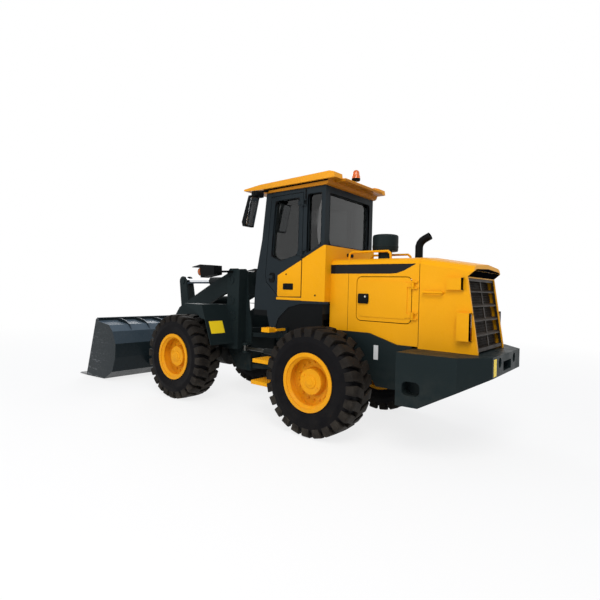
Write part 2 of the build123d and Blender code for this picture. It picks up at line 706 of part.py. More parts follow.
def front_frame():
    outer = side_plate([(tower_rear, deck_z), *tower_outline(tower_rear, deck_z)[1:-1]], tower_out - tower_plate, tower_out)
    back = [(wall_x - 20, frame_low), (wall_x - 20, 1160), (tower_rear - 60, 1500), *tower_outline(wall_x, frame_low)[1:-1],
            (boom_pin[0], frame_low)]
    inner = side_plate(back, tower_in, tower_in + tower_plate)
    close = box(tower_rear, tower_rear + 25, tower_in, tower_out, deck_z, tower_top - 30)
    sill = box(tower_rear, front_x + 250, tower_in, tower_out, deck_z, deck_z + 25)
    wall = box(wall_x, wall_x + 25, -tower_in, tower_in, frame_low, 1160)
    nose = box(front_x + 210, front_x + 250, -tower_in, tower_in, deck_z, 1060)
    beam = box(tower_rear + 10, tower_rear + 60, -tower_in, tower_in, 1700, 2060)
    lugs = []
    for z in (upper_hinge, lower_hinge):
        half = jaw_gap / 2 - side_play
        outline = [(wall_x + 10, -tower_in), (pivot_x, -jaw_radius + 5), (pivot_x, jaw_radius - 5), (wall_x + 10, tower_in)]
        lug = flat_plate(outline, z - half, z + half) + post(pivot_x, 0, jaw_radius - 5, z - half, z + half)
        lugs.append(lug - post(pivot_x, 0, pin_radius + run, z - half - 1, z + half + 1))
    tilt_lugs = pair(arm(boom_pin, 70, (tower_rear + 40, boom_pin[1]), 100, 58, 88))
    eyes = [lug for z_lug in steer_lugs(steer_eye, tower_in + 5) for lug in pair(z_lug)]
    pins = pair(pin_y(boom_pin, gear_pin, tower_in, tower_out)) + pair(pin_y(lift_base, gear_pin, tower_in, tower_out))
    caps = []
    for at in (boom_pin, (front_x - 0.498 * half_base, 1590), lift_base):
        caps += pair(pin_y(at, 62, tower_out - 5, tower_out + 12))
    tilt_pin = pin_y(boom_pin, 40, -88, 88)
    solid = joined(*pair(outer), *pair(inner), *pair(close), *pair(sill), wall, nose, beam, *lugs, *tilt_lugs, *eyes, *pins,
                   *caps, tilt_pin)
    return solid - bar((wall_x - 50, 0, axle_z), (wall_x + 60, 0, axle_z), shaft_radius + 35)


def front_fender():
    """Folded top and rear panels, with a web whose lower edge follows the tyre."""
    top = [(front_x - 100, 1520), (front_x - 100, 1510), (front_x - 514, 1510), (front_x - 750, 915), (front_x - 761, 915),
           (front_x - 521, 1520)]
    web = [(front_x - 100, 1512), (front_x - 516, 1512), (front_x - 602, 1296), (front_x - 505, 1309),
           (front_x - 420, 1376), (front_x - 330, 1424), (front_x - 225, 1462)]
    return joined(side_plate(top, tower_out, fender_out), side_plate(web, fender_out - 10, fender_out))


def headlamp():
    shell = side_plate([(front_x - 480, 2140), (front_x - 135, 2158), (front_x - 165, 1942), (front_x - 490, 1995)], 565, 740)
    visor = side_plate([(front_x - 150, 2157), (front_x + 55, 2120), (front_x + 55, 2110), (front_x - 150, 2143)], 560, 745)
    lens = bar((front_x - 170, 652, 2046), (front_x - 60, 652, 2040), 66)
    stay = box(front_x - 620, front_x - 470, 565, 640, 2030, 2060)
    foot = box(front_x - 680, front_x - 600, tower_out, 640, 2030, 2060)
    return joined(shell, visor, lens, stay, foot)


def drive_shafts():
    front = bar((pivot_x + 60, 0, axle_z), (front_x - diff_half - 60, 0, axle_z), shaft_radius)
    rear = bar((rear_x + 790, 0, axle_z), (pivot_x - 60, 0, axle_z), shaft_radius)
    return front, rear


# Loader gear
def boom():
    px, pz = boom_pin
    y0 = boom_y - boom_plate / 2
    y1 = boom_y + boom_plate / 2
    fx = front_x
    upper = [(px - 60, pz + 118), (fx - 470, 2022), (fx - 110, 1861), (fx + 329, 1644), (fx + 772, 1411),
             (bucket_pin[0] + 70, bucket_pin[1] + 75)]
    lower = [(bucket_pin[0] - 85, bucket_pin[1] - 60), (fx + 620, 1120),
             (fx + 329, 1310), (fx - 98, 1538), (fx - 367, 1665), (px - 90, pz - 95)]
    plate = side_plate(upper + lower, y0, y1) + pin_y(boom_pin, 130, y0, y1) + pin_y(bucket_pin, 104, y0, y1)
    ears = []
    for at in (y0 - 25, y1):
        ear = side_plate([(lift_eye[0] - 140, 1440), (lift_eye[0] - 70, lift_eye[1] - 30), (lift_eye[0], lift_eye[1] - 70),
                          (lift_eye[0] + 70, lift_eye[1] - 30), (lift_eye[0] + 160, 1340)], at, at + 25)
        ears.append(ear)
    both = pair(plate + ears[0] + ears[1])
    shaft = pin_y(bell_pin, 60, -y0, y0)
    tube = pin_y((front_x + 180, 1560), 75, -y0, y0)
    solid = joined(*both, shaft, tube)
    bores = pin_y(boom_pin, gear_pin + run, -y1 - 1, y1 + 1) + pin_y(bucket_pin, gear_pin + run, -y1 - 1, y1 + 1)
    return solid - bores


def line_to(p, q, y):
    """A function that gives the point a share of the way from p to q, and the distance between them."""
    d = hypot(q[0] - p[0], q[1] - p[1])

    def at(t):
        return (p[0] + (q[0] - p[0]) * t / d, y, p[1] + (q[1] - p[1]) * t / d)
    return at, d


def barrel(p, q, y, eye, half, bore, r, hole, share):
    """A cylinder barrel pinned at p that points to q; its tube ends at a share of that distance."""
    at, d = line_to(p, q, y)
    mouth = share * d
    tube = bar(at(eye + 55), at(mouth), r)
    solid = joined(pin_y(p, eye, y - half, y + half), bar(at(eye * 0.6), at(eye + 65), half), tube)
    return solid - bar(at(eye + 60), at(mouth + 1), hole + run) - pin_y(p, bore + run, y - half - r, y + half + r)


def rod(p, q, y, eye, half, r, share):
    """A cylinder rod that runs from its eye at q back toward p, over a share of the distance."""
    at, d = line_to(p, q, y)
    neck = bar(at(d - 170), at(d), min(r, half))
    return joined(pin_y(q, eye, y - half, y + half), neck, bar(at(d - share * d), at(d - 160), r))


def lift_barrels():
    return pair(barrel(lift_base, lift_eye, boom_y, 65, 55, gear_pin, lift_barrel, lift_rod, 0.864))


def lift_rods():
    return pair(rod(lift_base, lift_eye, boom_y, 55, boom_plate / 2 - side_play, lift_rod, 0.806))


def steer_barrel_left():
    p = Vector(*steer_base, steer_z)
    q = Vector(*steer_eye, steer_z)
    way = (q - p).normalized()
    mouth = (q - p).length * 0.66
    tube = joined(post(*steer_base, 42, steer_z - 42, steer_z + 42), bar(p + way * 35, p + way * mouth, steer_barrel))
    bore = bar(p + way * 110, p + way * (mouth + 1), steer_rod + run)
    return tube - bore - post(*steer_base, 28 + run, 0, 2 * steer_z)


def steer_rod_left():
    p = Vector(*steer_base, steer_z)
    q = Vector(*steer_eye, steer_z)
    tail = q + (p - q) * 0.614
    return joined(post(*steer_eye, 40, steer_z - 42, steer_z + 42), bar(tail, q, steer_rod))


def tilt_barrel_part():
    return barrel(boom_pin, bell_top, 0, 70, 55, 40, tilt_barrel, tilt_rod, 0.584)


def tilt_rod_part():
    return rod(boom_pin, bell_top, 0, 62, bell_in - side_play - 2, tilt_rod, 0.652)


def bellcrank():
    y0 = bell_in
    y1 = bell_in + bell_plate
    plate = joined(arm(bell_top, 95, bell_pin, 125, y0, y1), arm(bell_pin, 125, bell_low, 85, y0, y1))
    boss = pin_y(bell_pin, 95, -y0 - 5, y0 + 5)
    bosses = [cap for at in (bell_top, bell_low) for cap in pair(pin_y(at, 60, y1 - 5, y1 + 12))]
    solid = joined(*pair(plate), boss, *bosses)
    return solid - pin_y(bell_pin, 60 + run, -y1 - 20, y1 + 20)


def bucket_link():
    half = bell_in - side_play - 2
    return arm(bell_low, 70, link_eye, 60, -half, half) - pin_y(link_eye, link_pin + run, -half - 1, half + 1)


bucket_back = [(front_x + 2267, 1134), (front_x + 2217, 1080), (front_x + 1842, 1038), (front_x + 1712, 929),
               (front_x + 1595, 714), (front_x + 1595, 461), (front_x + 1686, 194), (front_x + 1948, 35),
               (edge_x, 10)]


def bucket():
    top_x, top_z = bucket_back[0]
    inner = [(x + bucket_wall * 0.9, z - (bucket_wall if z > 900 else -bucket_wall * 0.9)) for x, z in bucket_back[1:-1]]
    skin_pts = bucket_back + [(edge_x, 10 + edge_thick)] + inner[::-1] + [(top_x + 14, top_z - 14)]
    skin = side_plate(skin_pts, -bucket_half, bucket_half)
    cheek_pts = bucket_back[:-1] + [(edge_x, 10), (edge_x, 60), (top_x + 60, top_z - 9)]
    cheeks = pair(side_plate(cheek_pts, bucket_half - bucket_wall, bucket_half))
    cutter = [(edge_x - 60, 45), (edge_x, 45), (edge_x, 70), (top_x + 62, top_z - 30), (top_x, top_z - 30)]
    cutters = pair(side_plate(cutter, bucket_half - bucket_wall - 12, bucket_half - bucket_wall + 2))
    rail = box(top_x - 40, top_x + 20, -bucket_half, bucket_half, top_z - 40, top_z + 16)
    rib_line = [(top_x - 20, top_z), (top_x - 170, top_z - 6), (top_x - 330, top_z - 30), (top_x - 470, top_z - 90),
                (top_x - 540, top_z - 190), (top_x - 420, top_z - 115), (top_x - 30, top_z - 70)]
    ribs = [side_plate(rib_line, y - 8, y + 8) for y in (-800, -400, 0, 400, 800)]
    void = side_plate([(x + 2, z) for x, z in inner] + [(edge_x + 400, 40), (edge_x + 400, 1500), (inner[0][0], 1500)],
                      -bucket_half, bucket_half)
    ears = []
    for y in (boom_y - boom_plate / 2 - side_play - 35, boom_y + boom_plate / 2 + side_play):
        ears += pair(arm(bucket_pin, 95, (bucket_pin[0] + 110, bucket_pin[1] + 100), 190, y, y + 35))
    for y in (bell_in, -bell_in - 30):
        ears.append(arm(link_eye, 68, (link_eye[0] + 160, link_eye[1] - 20), 150, y, y + 30))
    pins = pair(pin_y(bucket_pin, gear_pin, boom_y - boom_plate / 2 - 38, boom_y + boom_plate / 2 + 38))
    pins.append(pin_y(link_eye, link_pin, -bell_in - 30, bell_in + 30))
    ears = [piece - void for piece in ears + ribs]
    return joined(skin, *cheeks, *cutters, rail, *ears, *pins)


def cutting_edge():
    tip = front_x + front_reach
    blade = [(edge_x, 10), (edge_x, 10 + edge_thick), (tip - 60, 10 + edge_thick), (tip, 10)]
    return side_plate(blade, -bucket_half, bucket_half)


def main():
    os.makedirs("parts", exist_ok=True)
    save("rear_frame", joined(rear_frame(), *step_boxes()))
    save("counterweight", counterweight())
    save("tanks", tanks())
    save("rear_axle", axle(rear_x))
    save("front_axle", joined(axle(front_x), drive_shafts()[0]))
    save("engine", engine())
    save("gearbox", joined(gearbox(), drive_shafts()[1]))
    save("radiator", radiator())
    save("hood_shell", hood_shell())
    save("hood_rails", hood_rails())
    save("hood_rear", hood_rear())
    door = hood_door()
    save("hood_door_left", door)
    save("hood_door_right", across(door))
    save("grille", grille())
    save("air_cleaner", air_cleaner())
    save("exhaust_pipe", exhaust())
    save("rear_lamps", rear_lamps())
    save("cab_floor", cab_floor())
    save("cab_frame", cab_frame())
    cab_leaf = cab_door()
    save("cab_door_left", cab_leaf)
    save("cab_door_right", across(cab_leaf))
    pane = door_glass()
    save("door_glass_left", pane)
    save("door_glass_right", across(pane))
    save("cab_glass", cab_glass())
    save("cab_roof", cab_roof())
    save("side_panels", side_panels())
    save("arch_panels", arch_panels())
    save("seat_base", seat_base())
    save("seat_cushions", seat_cushions())
    save("steering_column", steering_column())
    save("beacon", beacon())
    save("mirrors", mirrors())
    save("ladders", pair(ladder()))
    save("front_frame", front_frame())
    save("front_fenders", pair(front_fender()))
    save("headlamps", pair(headlamp()))
    save("boom", boom())
    save("lift_barrels", lift_barrels())
    save("lift_rods", lift_rods())
    for side, flip in (("left", False), ("right", True)):
        tube = steer_barrel_left()
        stem = steer_rod_left()
        save(f"steer_barrel_{side}", across(tube) if flip else tube)
        save(f"steer_rod_{side}", across(stem) if flip else stem)
    save("tilt_barrel", tilt_barrel_part())
    save("tilt_rod", tilt_rod_part())
    save("bellcrank", bellcrank())
    save("bucket_link", bucket_link())
    save("bucket", bucket())
    save("cutting_edge", cutting_edge())
    rear_tyre = tyre(rear_x)
    for end, x in (("front", front_x), ("rear", rear_x)):
        rubber = Pos(x - rear_x, 0, 0) * rear_tyre
        disc = rim(x)
        save(f"tyre_{end}_left", rubber)
        save(f"tyre_{end}_right", across(rubber))
        save(f"rim_{end}_left", disc)
        save(f"rim_{end}_right", across(disc))


main()
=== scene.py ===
# %% [markdown]
# # An articulated wheel loader
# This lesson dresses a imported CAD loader: yellow hood and rims, a charcoal cab and loader arm, big lug
# tyres, dark glass. The CAD nodes arrive with their places in their meshes and ride on the bodies of the
# machine already, so every new piece only has to be modelled in metres in the same frame and told which
# body carries it.

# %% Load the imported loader
from math import cos, pi, radians, sin, tau

import bmesh
import bpy
from mathutils import Matrix, Vector


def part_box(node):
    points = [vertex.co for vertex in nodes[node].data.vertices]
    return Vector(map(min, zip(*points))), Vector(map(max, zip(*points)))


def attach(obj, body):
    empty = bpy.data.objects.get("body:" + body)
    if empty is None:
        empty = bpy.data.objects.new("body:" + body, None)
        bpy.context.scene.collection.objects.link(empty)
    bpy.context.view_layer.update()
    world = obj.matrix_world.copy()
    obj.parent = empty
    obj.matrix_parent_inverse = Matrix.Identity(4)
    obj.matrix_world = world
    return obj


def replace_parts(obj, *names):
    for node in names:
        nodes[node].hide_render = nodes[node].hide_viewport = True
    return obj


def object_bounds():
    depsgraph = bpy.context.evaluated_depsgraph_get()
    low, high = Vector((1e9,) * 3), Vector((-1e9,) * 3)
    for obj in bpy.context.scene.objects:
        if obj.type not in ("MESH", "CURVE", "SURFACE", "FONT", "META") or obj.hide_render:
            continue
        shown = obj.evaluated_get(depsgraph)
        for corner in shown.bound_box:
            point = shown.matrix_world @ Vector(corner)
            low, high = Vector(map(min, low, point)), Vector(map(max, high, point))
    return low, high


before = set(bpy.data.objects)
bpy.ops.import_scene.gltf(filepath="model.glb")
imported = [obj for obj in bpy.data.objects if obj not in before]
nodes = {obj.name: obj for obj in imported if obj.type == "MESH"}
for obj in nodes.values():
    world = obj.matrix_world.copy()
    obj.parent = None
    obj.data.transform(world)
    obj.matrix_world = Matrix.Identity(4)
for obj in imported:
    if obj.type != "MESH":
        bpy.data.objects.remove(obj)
cad_low, cad_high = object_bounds()

# %% [markdown]
# The wheels give the places that most pieces are measured from. Reading them from the tyres' boxes, rather
# than writing them again, keeps the dressing on the machine when a size of the CAD model changes.

# %% Places on the machine
def middle(node):
    low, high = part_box(node)
    return (low + high) / 2


rear_x = middle("tyre_rear_left").x
front_x = middle("tyre_front_left").x
track_y = middle("tyre_rear_left").y
tyre_radius = middle("tyre_rear_left").z
sides = (("left", 1), ("right", -1))
print("rear axle at", round(rear_x, 3), "front axle at", round(front_x, 3))
print("tyre radius", round(tyre_radius, 3))

# %% [markdown]
# ## Camera
# The photograph was taken from the rear left at about eye height, with a fairly wide lens. Its camera was
# fitted to the wheels, roof and bucket, and it is written here as a place, a heading, a slight roll and a
# small shift of the frame.

# %% Camera
heading, climb, roll = radians(-49.689), radians(0.4115), radians(1.607)
eye = Vector((-5.0123, 5.4899, 1.7933))
forward = Vector((cos(climb) * cos(heading), cos(climb) * sin(heading), sin(climb)))
right = forward.cross(Vector((0, 0, 1))).normalized()
up = right.cross(forward)
right, up = right * cos(roll) + up * sin(roll), up * cos(roll) - right * sin(roll)
lens = bpy.data.cameras.new("photo_camera")
lens.sensor_width = 36
lens.lens = 26.83
lens.shift_x = 0.0364
lens.shift_y = -0.0240
camera = bpy.data.objects.new("photo_camera", lens)
camera.matrix_world = Matrix.Translation(eye) @ Matrix((right, up, -forward)).transposed().to_4x4()
bpy.context.scene.collection.objects.link(camera)
bpy.context.scene.camera = camera
print("camera stands", round((eye - Vector((0, 0, 1))).length, 2), "m from the machine")

# %% [markdown]
# ## Studio
# A pale floor takes a soft shadow, and the world is white where the camera, a mirror or a window looks at
# it. Three wide lamps do the lighting: a key from the camera's side and above, a fill along the hood's
# flank, and one from the front so that other views are lit as well.

# %% Floor, world and lamps
scene = bpy.context.scene
scene.view_settings.view_transform = "Standard"


def link(tree, start, end):
    tree.links.new(start, end)


def add_node(tree, kind, **values):
    """A new node; a value whose name is a socket goes to that socket, any other to the node itself."""
    node = tree.nodes.new(kind)
    for name, value in values.items():
        label = name.replace("_", " ")
        if label in node.inputs:
            node.inputs[label].default_value = value
        else:
            setattr(node, name, value)
    return node


def white_to_view(tree):
    """A mask that is 1 for rays from the camera, mirrors and glass, and 0 for rays that carry light."""
    path = add_node(tree, "ShaderNodeLightPath")
    glossy = add_node(tree, "ShaderNodeMath", operation="MAXIMUM")
    seen = add_node(tree, "ShaderNodeMath", operation="MAXIMUM")
    link(tree, path.outputs["Is Camera Ray"], glossy.inputs[0])
    link(tree, path.outputs["Is Glossy Ray"], glossy.inputs[1])
    link(tree, glossy.outputs[0], seen.inputs[0])
    link(tree, path.outputs["Is Transmission Ray"], seen.inputs[1])
    return seen.outputs[0]


world = bpy.data.worlds.new("studio_world")
world.use_nodes = True
tree = world.node_tree
tree.nodes.clear()
sky = add_node(tree, "ShaderNodeBackground", Color=(0.86, 0.90, 1, 1), Strength=0.55)
white = add_node(tree, "ShaderNodeBackground", Color=(1, 1, 1, 1), Strength=1)
mix = add_node(tree, "ShaderNodeMixShader")
out = add_node(tree, "ShaderNodeOutputWorld")
link(tree, white_to_view(tree), mix.inputs[0])
link(tree, sky.outputs[0], mix.inputs[1])
link(tree, white.outputs[0], mix.inputs[2])
link(tree, mix.outputs[0], out.inputs["Surface"])
scene.world = world

bm = bmesh.new()
bmesh.ops.create_circle(bm, cap_ends=True, segments=96, radius=40)
mesh = bpy.data.meshes.new("studio_floor")
bm.to_mesh(mesh)
bm.free()
floor = bpy.data.objects.new("studio_floor", mesh)
scene.collection.objects.link(floor)
paper = bpy.data.materials.new("studio_paper")
paper.use_nodes = True
tree = paper.node_tree
grain = add_node(tree, "ShaderNodeTexNoise", Scale=40.0, Detail=4.0)
tint = add_node(tree, "ShaderNodeValToRGB")
tint.color_ramp.elements[0].color = (0.90, 0.90, 0.90, 1)
tint.color_ramp.elements[1].color = (0.94, 0.94, 0.94, 1)
shader = tree.nodes["Principled BSDF"]
shader.inputs["Roughness"].default_value = 0.9
shader.inputs["Specular IOR Level"].default_value = 0.1
glow = add_node(tree, "ShaderNodeEmission", Color=(1, 1, 1, 1), Strength=1)
mix = add_node(tree, "ShaderNodeMixShader")
part = add_node(tree, "ShaderNodeMath", operation="MULTIPLY")
spot = add_node(tree, "ShaderNodeTexCoord")
reach = add_node(tree, "ShaderNodeVectorMath", operation="LENGTH")
fade = add_node(tree, "ShaderNodeMapRange", From_Min=5.0, From_Max=14.0, To_Min=0.80, To_Max=1.0)
link(tree, spot.outputs["Object"], reach.inputs[0])
link(tree, reach.outputs["Value"], fade.inputs["Value"])
link(tree, fade.outputs["Result"], part.inputs[1])
link(tree, grain.outputs["Fac"], tint.inputs["Fac"])
link(tree, tint.outputs["Color"], shader.inputs["Base Color"])
link(tree, white_to_view(tree), part.inputs[0])
link(tree, part.outputs[0], mix.inputs[0])
link(tree, shader.outputs[0], mix.inputs[1])
link(tree, glow.outputs[0], mix.inputs[2])
link(tree, mix.outputs[0], tree.nodes["Material Output"].inputs["Surface"])
mesh.materials.append(paper)


def lamp(name, place, target, size, power, colour=(1, 1, 1)):
    light = bpy.data.lights.new(name, "AREA")
    light.shape = "DISK"
    light.size = size
    light.energy = power
    light.color = colour
    holder = bpy.data.objects.new(name, light)
    holder.location = place
    holder.rotation_euler = (Vector(target) - Vector(place)).to_track_quat("-Z", "Y").to_euler()
    scene.collection.objects.link(holder)


lamp("key_lamp", (-6, 7, 9), (0, 0, 1), 6, 665, (1, 0.97, 0.92))
lamp("flank_lamp", (2, 11, 4), (0, 0, 1.2), 7, 245)
lamp("front_lamp", (10, -7, 8), (0, 0, 1), 7, 500)

# %% [markdown]
# ## Shared finishes
# Paint, dust, worn edges with a painted highlight, and scratches turn up in many materials, so each is a
# node group built once and placed where it is needed with its own values. A group only puts out colours,
# masks and heights; the shader stays in the material.

# %% Node group helper
kinds = {"color": "NodeSocketColor", "value": "NodeSocketFloat"}


def new_group(name, inputs, outputs):
    """A shader node group with named sockets; inputs maps a name to its default colour or number."""
    group = bpy.data.node_groups.new(name, "ShaderNodeTree")
    for label, default in inputs.items():
        kind = "color" if isinstance(default, tuple) else "value"
        socket = group.interface.new_socket(label, in_out="INPUT", socket_type=kinds[kind])
        socket.default_value = default
    for label, kind in outputs.items():
        group.interface.new_socket(label, in_out="OUTPUT", socket_type=kinds[kind])
    return group, add_node(group, "NodeGroupInput"), add_node(group, "NodeGroupOutput")


def noise_at(tree, scale, detail=4.0, stretch=(1, 1, 1)):
    """Noise on the piece's own coordinates, stretched along an axis if asked."""
    place = add_node(tree, "ShaderNodeTexCoord")
    fit = add_node(tree, "ShaderNodeMapping")
    fit.inputs["Scale"].default_value = stretch
    noise = add_node(tree, "ShaderNodeTexNoise", Scale=scale, Detail=detail)
    link(tree, place.outputs["Object"], fit.inputs["Vector"])
    link(tree, fit.outputs["Vector"], noise.inputs["Vector"])
    return noise.outputs["Fac"]


def own_axes(tree):
    """X, Y and Z of the piece's own coordinates."""
    place = add_node(tree, "ShaderNodeTexCoord")
    axes = add_node(tree, "ShaderNodeSeparateXYZ")
    link(tree, place.outputs["Object"], axes.inputs[0])
    return axes.outputs


def wire(tree, item, socket):
    """Links an output to a socket, or sets the socket to a plain value."""
    if hasattr(item, "is_linked"):
        link(tree, item, socket)
    else:
        socket.default_value = item


def remap(tree, value, low, high, to_low=0.0, to_high=1.0):
    node = add_node(tree, "ShaderNodeMapRange")
    link(tree, value, node.inputs["Value"])
    for label, item in (("From Min", low), ("From Max", high), ("To Min", to_low), ("To Max", to_high)):
        wire(tree, item, node.inputs[label])
    return node.outputs["Result"]


def math_of(tree, operation, first, second):
    node = add_node(tree, "ShaderNodeMath", operation=operation)
    for socket, item in zip(node.inputs, (first, second)):
        wire(tree, item, socket)
    return node.outputs[0]


def mixed(tree, amount, first, second):
    node = add_node(tree, "ShaderNodeMix", data_type="RGBA")
    for socket, item in ((node.inputs[0], amount), (node.inputs[6], first), (node.inputs[7], second)):
        wire(tree, item, socket)
    return node.outputs[2]


print("socket kinds", sorted(kinds))

# %% [markdown]
# Sprayed paint is never one colour: it thins and thickens over a panel and has a fine orange-peel skin.
# Slow noise moves the colour a little, quick noise gives the skin's height, and a middle one the gloss.

# %% Paint film
group, start, end = new_group(
    "paint_film",
    {"Color": (0.8, 0.4, 0.0, 1), "Fade": 0.1, "Gloss": 0.3},
    {"Color": "color", "Roughness": "value", "Height": "value"})
slow = noise_at(group, 1.4, 5.0)
tone = add_node(group, "ShaderNodeHueSaturation")
link(group, start.outputs["Color"], tone.inputs["Color"])
swing = math_of(group, "MULTIPLY", math_of(group, "SUBTRACT", slow, 0.5), start.outputs["Fade"])
link(group, math_of(group, "ADD", math_of(group, "MULTIPLY", swing, 2.0), 1.0), tone.inputs["Value"])
link(group, tone.outputs["Color"], end.inputs["Color"])
cloud = remap(group, noise_at(group, 6.0, 6.0), 0.3, 0.7, -0.06, 0.08)
link(group, math_of(group, "ADD", start.outputs["Gloss"], cloud), end.inputs["Roughness"])
link(group, noise_at(group, 320.0, 2.0), end.inputs["Height"])
paint_film = group
print("group", group.name, [item.name for item in group.interface.items_tree])

# %% [markdown]
# Edges of steel plate lose their paint first, and the edges of paint catch the light. The colour on an edge is
# partly that wear and partly a painted highlight; on yellow paint it is a lighter yellow, which is painted
# highlight only. The Bevel node softens the normal near an edge, and where it then differs from the true
# normal there is an edge; noise breaks the line up into chips and glints.

# %% Worn edges and painted edge highlights
group, start, end = new_group(
    "worn_and_highlit_edges",
    {"Color": (0.5, 0.5, 0.5, 1), "Bare Color": (0.3, 0.3, 0.3, 1), "Reach": 0.006, "Amount": 0.5},
    {"Color": "color", "Mask": "value"})
soft = add_node(group, "ShaderNodeBevel", samples=4)
link(group, start.outputs["Reach"], soft.inputs["Radius"])
true = add_node(group, "ShaderNodeNewGeometry")
same = add_node(group, "ShaderNodeVectorMath", operation="DOT_PRODUCT")
link(group, soft.outputs["Normal"], same.inputs[0])
link(group, true.outputs["Normal"], same.inputs[1])
# The colour put on edges is partly worn paint and partly a painted highlight where paint edges catch the light.
edge = remap(group, same.outputs["Value"], 0.99, 0.80)
chips_and_glints = remap(group, noise_at(group, 18.0, 7.0), 0.38, 0.62)
mask = math_of(group, "MULTIPLY", math_of(group, "MULTIPLY", edge, chips_and_glints), start.outputs["Amount"])
link(group, mask, end.inputs["Mask"])
link(group, mixed(group, mask, start.outputs["Color"], start.outputs["Bare Color"]), end.inputs["Color"])
worn_and_highlit_edges = group
print("group", group.name)

# %% [markdown]
# Dust lies thickest low down, where the wheels throw it. Height on the machine gives the slope of it and
# noise makes it patchy.

# %% Road dust
group, start, end = new_group(
    "road_dust",
    {"Color": (0.5, 0.5, 0.5, 1), "Dust Color": (0.30, 0.26, 0.20, 1), "Low": 0.0, "High": 1.2,
     "Amount": 0.3},
    {"Color": "color", "Mask": "value"})
depth = remap(group, own_axes(group)["Z"], start.outputs["High"], start.outputs["Low"])
patch = remap(group, noise_at(group, 9.0, 8.0), 0.35, 0.7)
mask = math_of(group, "MULTIPLY", math_of(group, "MULTIPLY", depth, patch), start.outputs["Amount"])
link(group, mask, end.inputs["Mask"])
link(group, mixed(group, mask, start.outputs["Color"], start.outputs["Dust Color"]), end.inputs["Color"])
road_dust = group
print("group", group.name)

# %% [markdown]
# Steel that digs is scored along the way it moves. Noise stretched hard along one axis and cut to its peaks
# gives the scores, as a mask and as a height.

# %% Scores
group, start, end = new_group("dig_scores", {"Amount": 0.5}, {"Mask": "value", "Height": "value"})
lines = remap(group, noise_at(group, 30.0, 3.0, (0.12, 2.6, 2.6)), 0.56, 0.66)
across = remap(group, noise_at(group, 14.0, 5.0, (1.6, 0.5, 1.6)), 0.45, 0.65)
mask = math_of(group, "MULTIPLY", math_of(group, "MULTIPLY", lines, across), start.outputs["Amount"])
link(group, mask, end.inputs["Mask"])
link(group, math_of(group, "SUBTRACT", 1.0, lines), end.inputs["Height"])
dig_scores = group
print("group", group.name)

# %% [markdown]
# ## Materials
# The painted ones share a recipe: film, then worn edges with a painted highlight, then dust, over a Principled
# shader.

# %% Painted steel
def new_material(name):
    material = bpy.data.materials.new(name)
    material.use_nodes = True
    return material, material.node_tree, material.node_tree.nodes["Principled BSDF"]


def place_group(tree, group, **values):
    node = add_node(tree, "ShaderNodeGroup", node_tree=group)
    for label, value in values.items():
        wire(tree, value, node.inputs[label.replace("_", " ")])
    return node


def bump(tree, height, shader, strength, distance):
    node = add_node(tree, "ShaderNodeBump", Strength=strength, Distance=distance)
    link(tree, height, node.inputs["Height"])
    link(tree, node.outputs["Normal"], shader.inputs["Normal"])


def painted(name, colour, fade=0.08, gloss=0.3, worn_and_lit_tone=(0.2, 0.2, 0.2, 1), worn_and_lit_amount=0.4, dust=0.25, dust_top=1.0,
            shine=0.05):
    """Paint film, worn edges with a painted highlight, and dust; the edge tone is the colour on those edges,
    dust_top where dust ends.
    """
    material, tree, shader = new_material(name)
    film = place_group(tree, paint_film, Color=colour, Fade=fade, Gloss=gloss)
    # The edge tone is partly worn paint and partly a painted highlight on the paint's edges.
    edges = place_group(tree, worn_and_highlit_edges, Color=film.outputs["Color"], Bare_Color=worn_and_lit_tone, Reach=0.006,
                        Amount=worn_and_lit_amount)
    dirt = place_group(tree, road_dust, Color=edges.outputs["Color"], High=dust_top, Amount=dust)
    link(tree, dirt.outputs["Color"], shader.inputs["Base Color"])
    dulled = math_of(tree, "MULTIPLY", dirt.outputs["Mask"], 0.5)
    link(tree, math_of(tree, "ADD", film.outputs["Roughness"], dulled), shader.inputs["Roughness"])
    shader.inputs["Specular IOR Level"].default_value = shine
    bump(tree, film.outputs["Height"], shader, 0.06, 0.001)
    return material


yellow = (0.80, 0.352, 0.006, 1)
# On the yellow paints the edge tone is a lighter yellow: a painted highlight, not wear.
yellow_edge_highlight = (0.84, 0.42, 0.03, 1)
yellow_paint = painted("yellow_paint", yellow, worn_and_lit_tone=yellow_edge_highlight, worn_and_lit_amount=0.25, dust=0.04)
ladder_paint = painted("ladder_paint", yellow, worn_and_lit_tone=yellow_edge_highlight, worn_and_lit_amount=0.4, dust=0.1)
roof_paint = painted("roof_paint", (0.74, 0.31, 0.020, 1), fade=0.12, worn_and_lit_tone=(0.80, 0.40, 0.06, 1), worn_and_lit_amount=0.25,
                     dust=0.0)
rim_paint = painted("rim_paint", (0.78, 0.33, 0.008, 1), worn_and_lit_tone=(0.82, 0.42, 0.05, 1), worn_and_lit_amount=0.3, dust=0.12,
                    dust_top=0.9)
charcoal_paint = painted("charcoal_paint", (0.0115, 0.0180, 0.0190, 1), gloss=0.40,
                         worn_and_lit_tone=(0.05, 0.058, 0.06, 1), worn_and_lit_amount=0.45, dust=0.1)
cab_paint = painted("cab_paint", (0.0150, 0.0205, 0.0240, 1), gloss=0.34, worn_and_lit_tone=(0.06, 0.068, 0.075, 1),
                    worn_and_lit_amount=0.35, dust=0.0)
cast_iron = painted("cast_iron", (0.010, 0.012, 0.0125, 1), fade=0.25, gloss=0.55, worn_and_lit_tone=(0.04, 0.04, 0.04, 1),
                    worn_and_lit_amount=0.3, shine=0.10)
grille_paint = painted("grille_paint", (0.017, 0.012, 0.009, 1), gloss=0.45, worn_and_lit_tone=(0.05, 0.036, 0.024, 1),
                       worn_and_lit_amount=0.5, dust=0.12, dust_top=2.4, shine=0.10)
print("painted", [m.name for m in bpy.data.materials if "paint" in m.name])

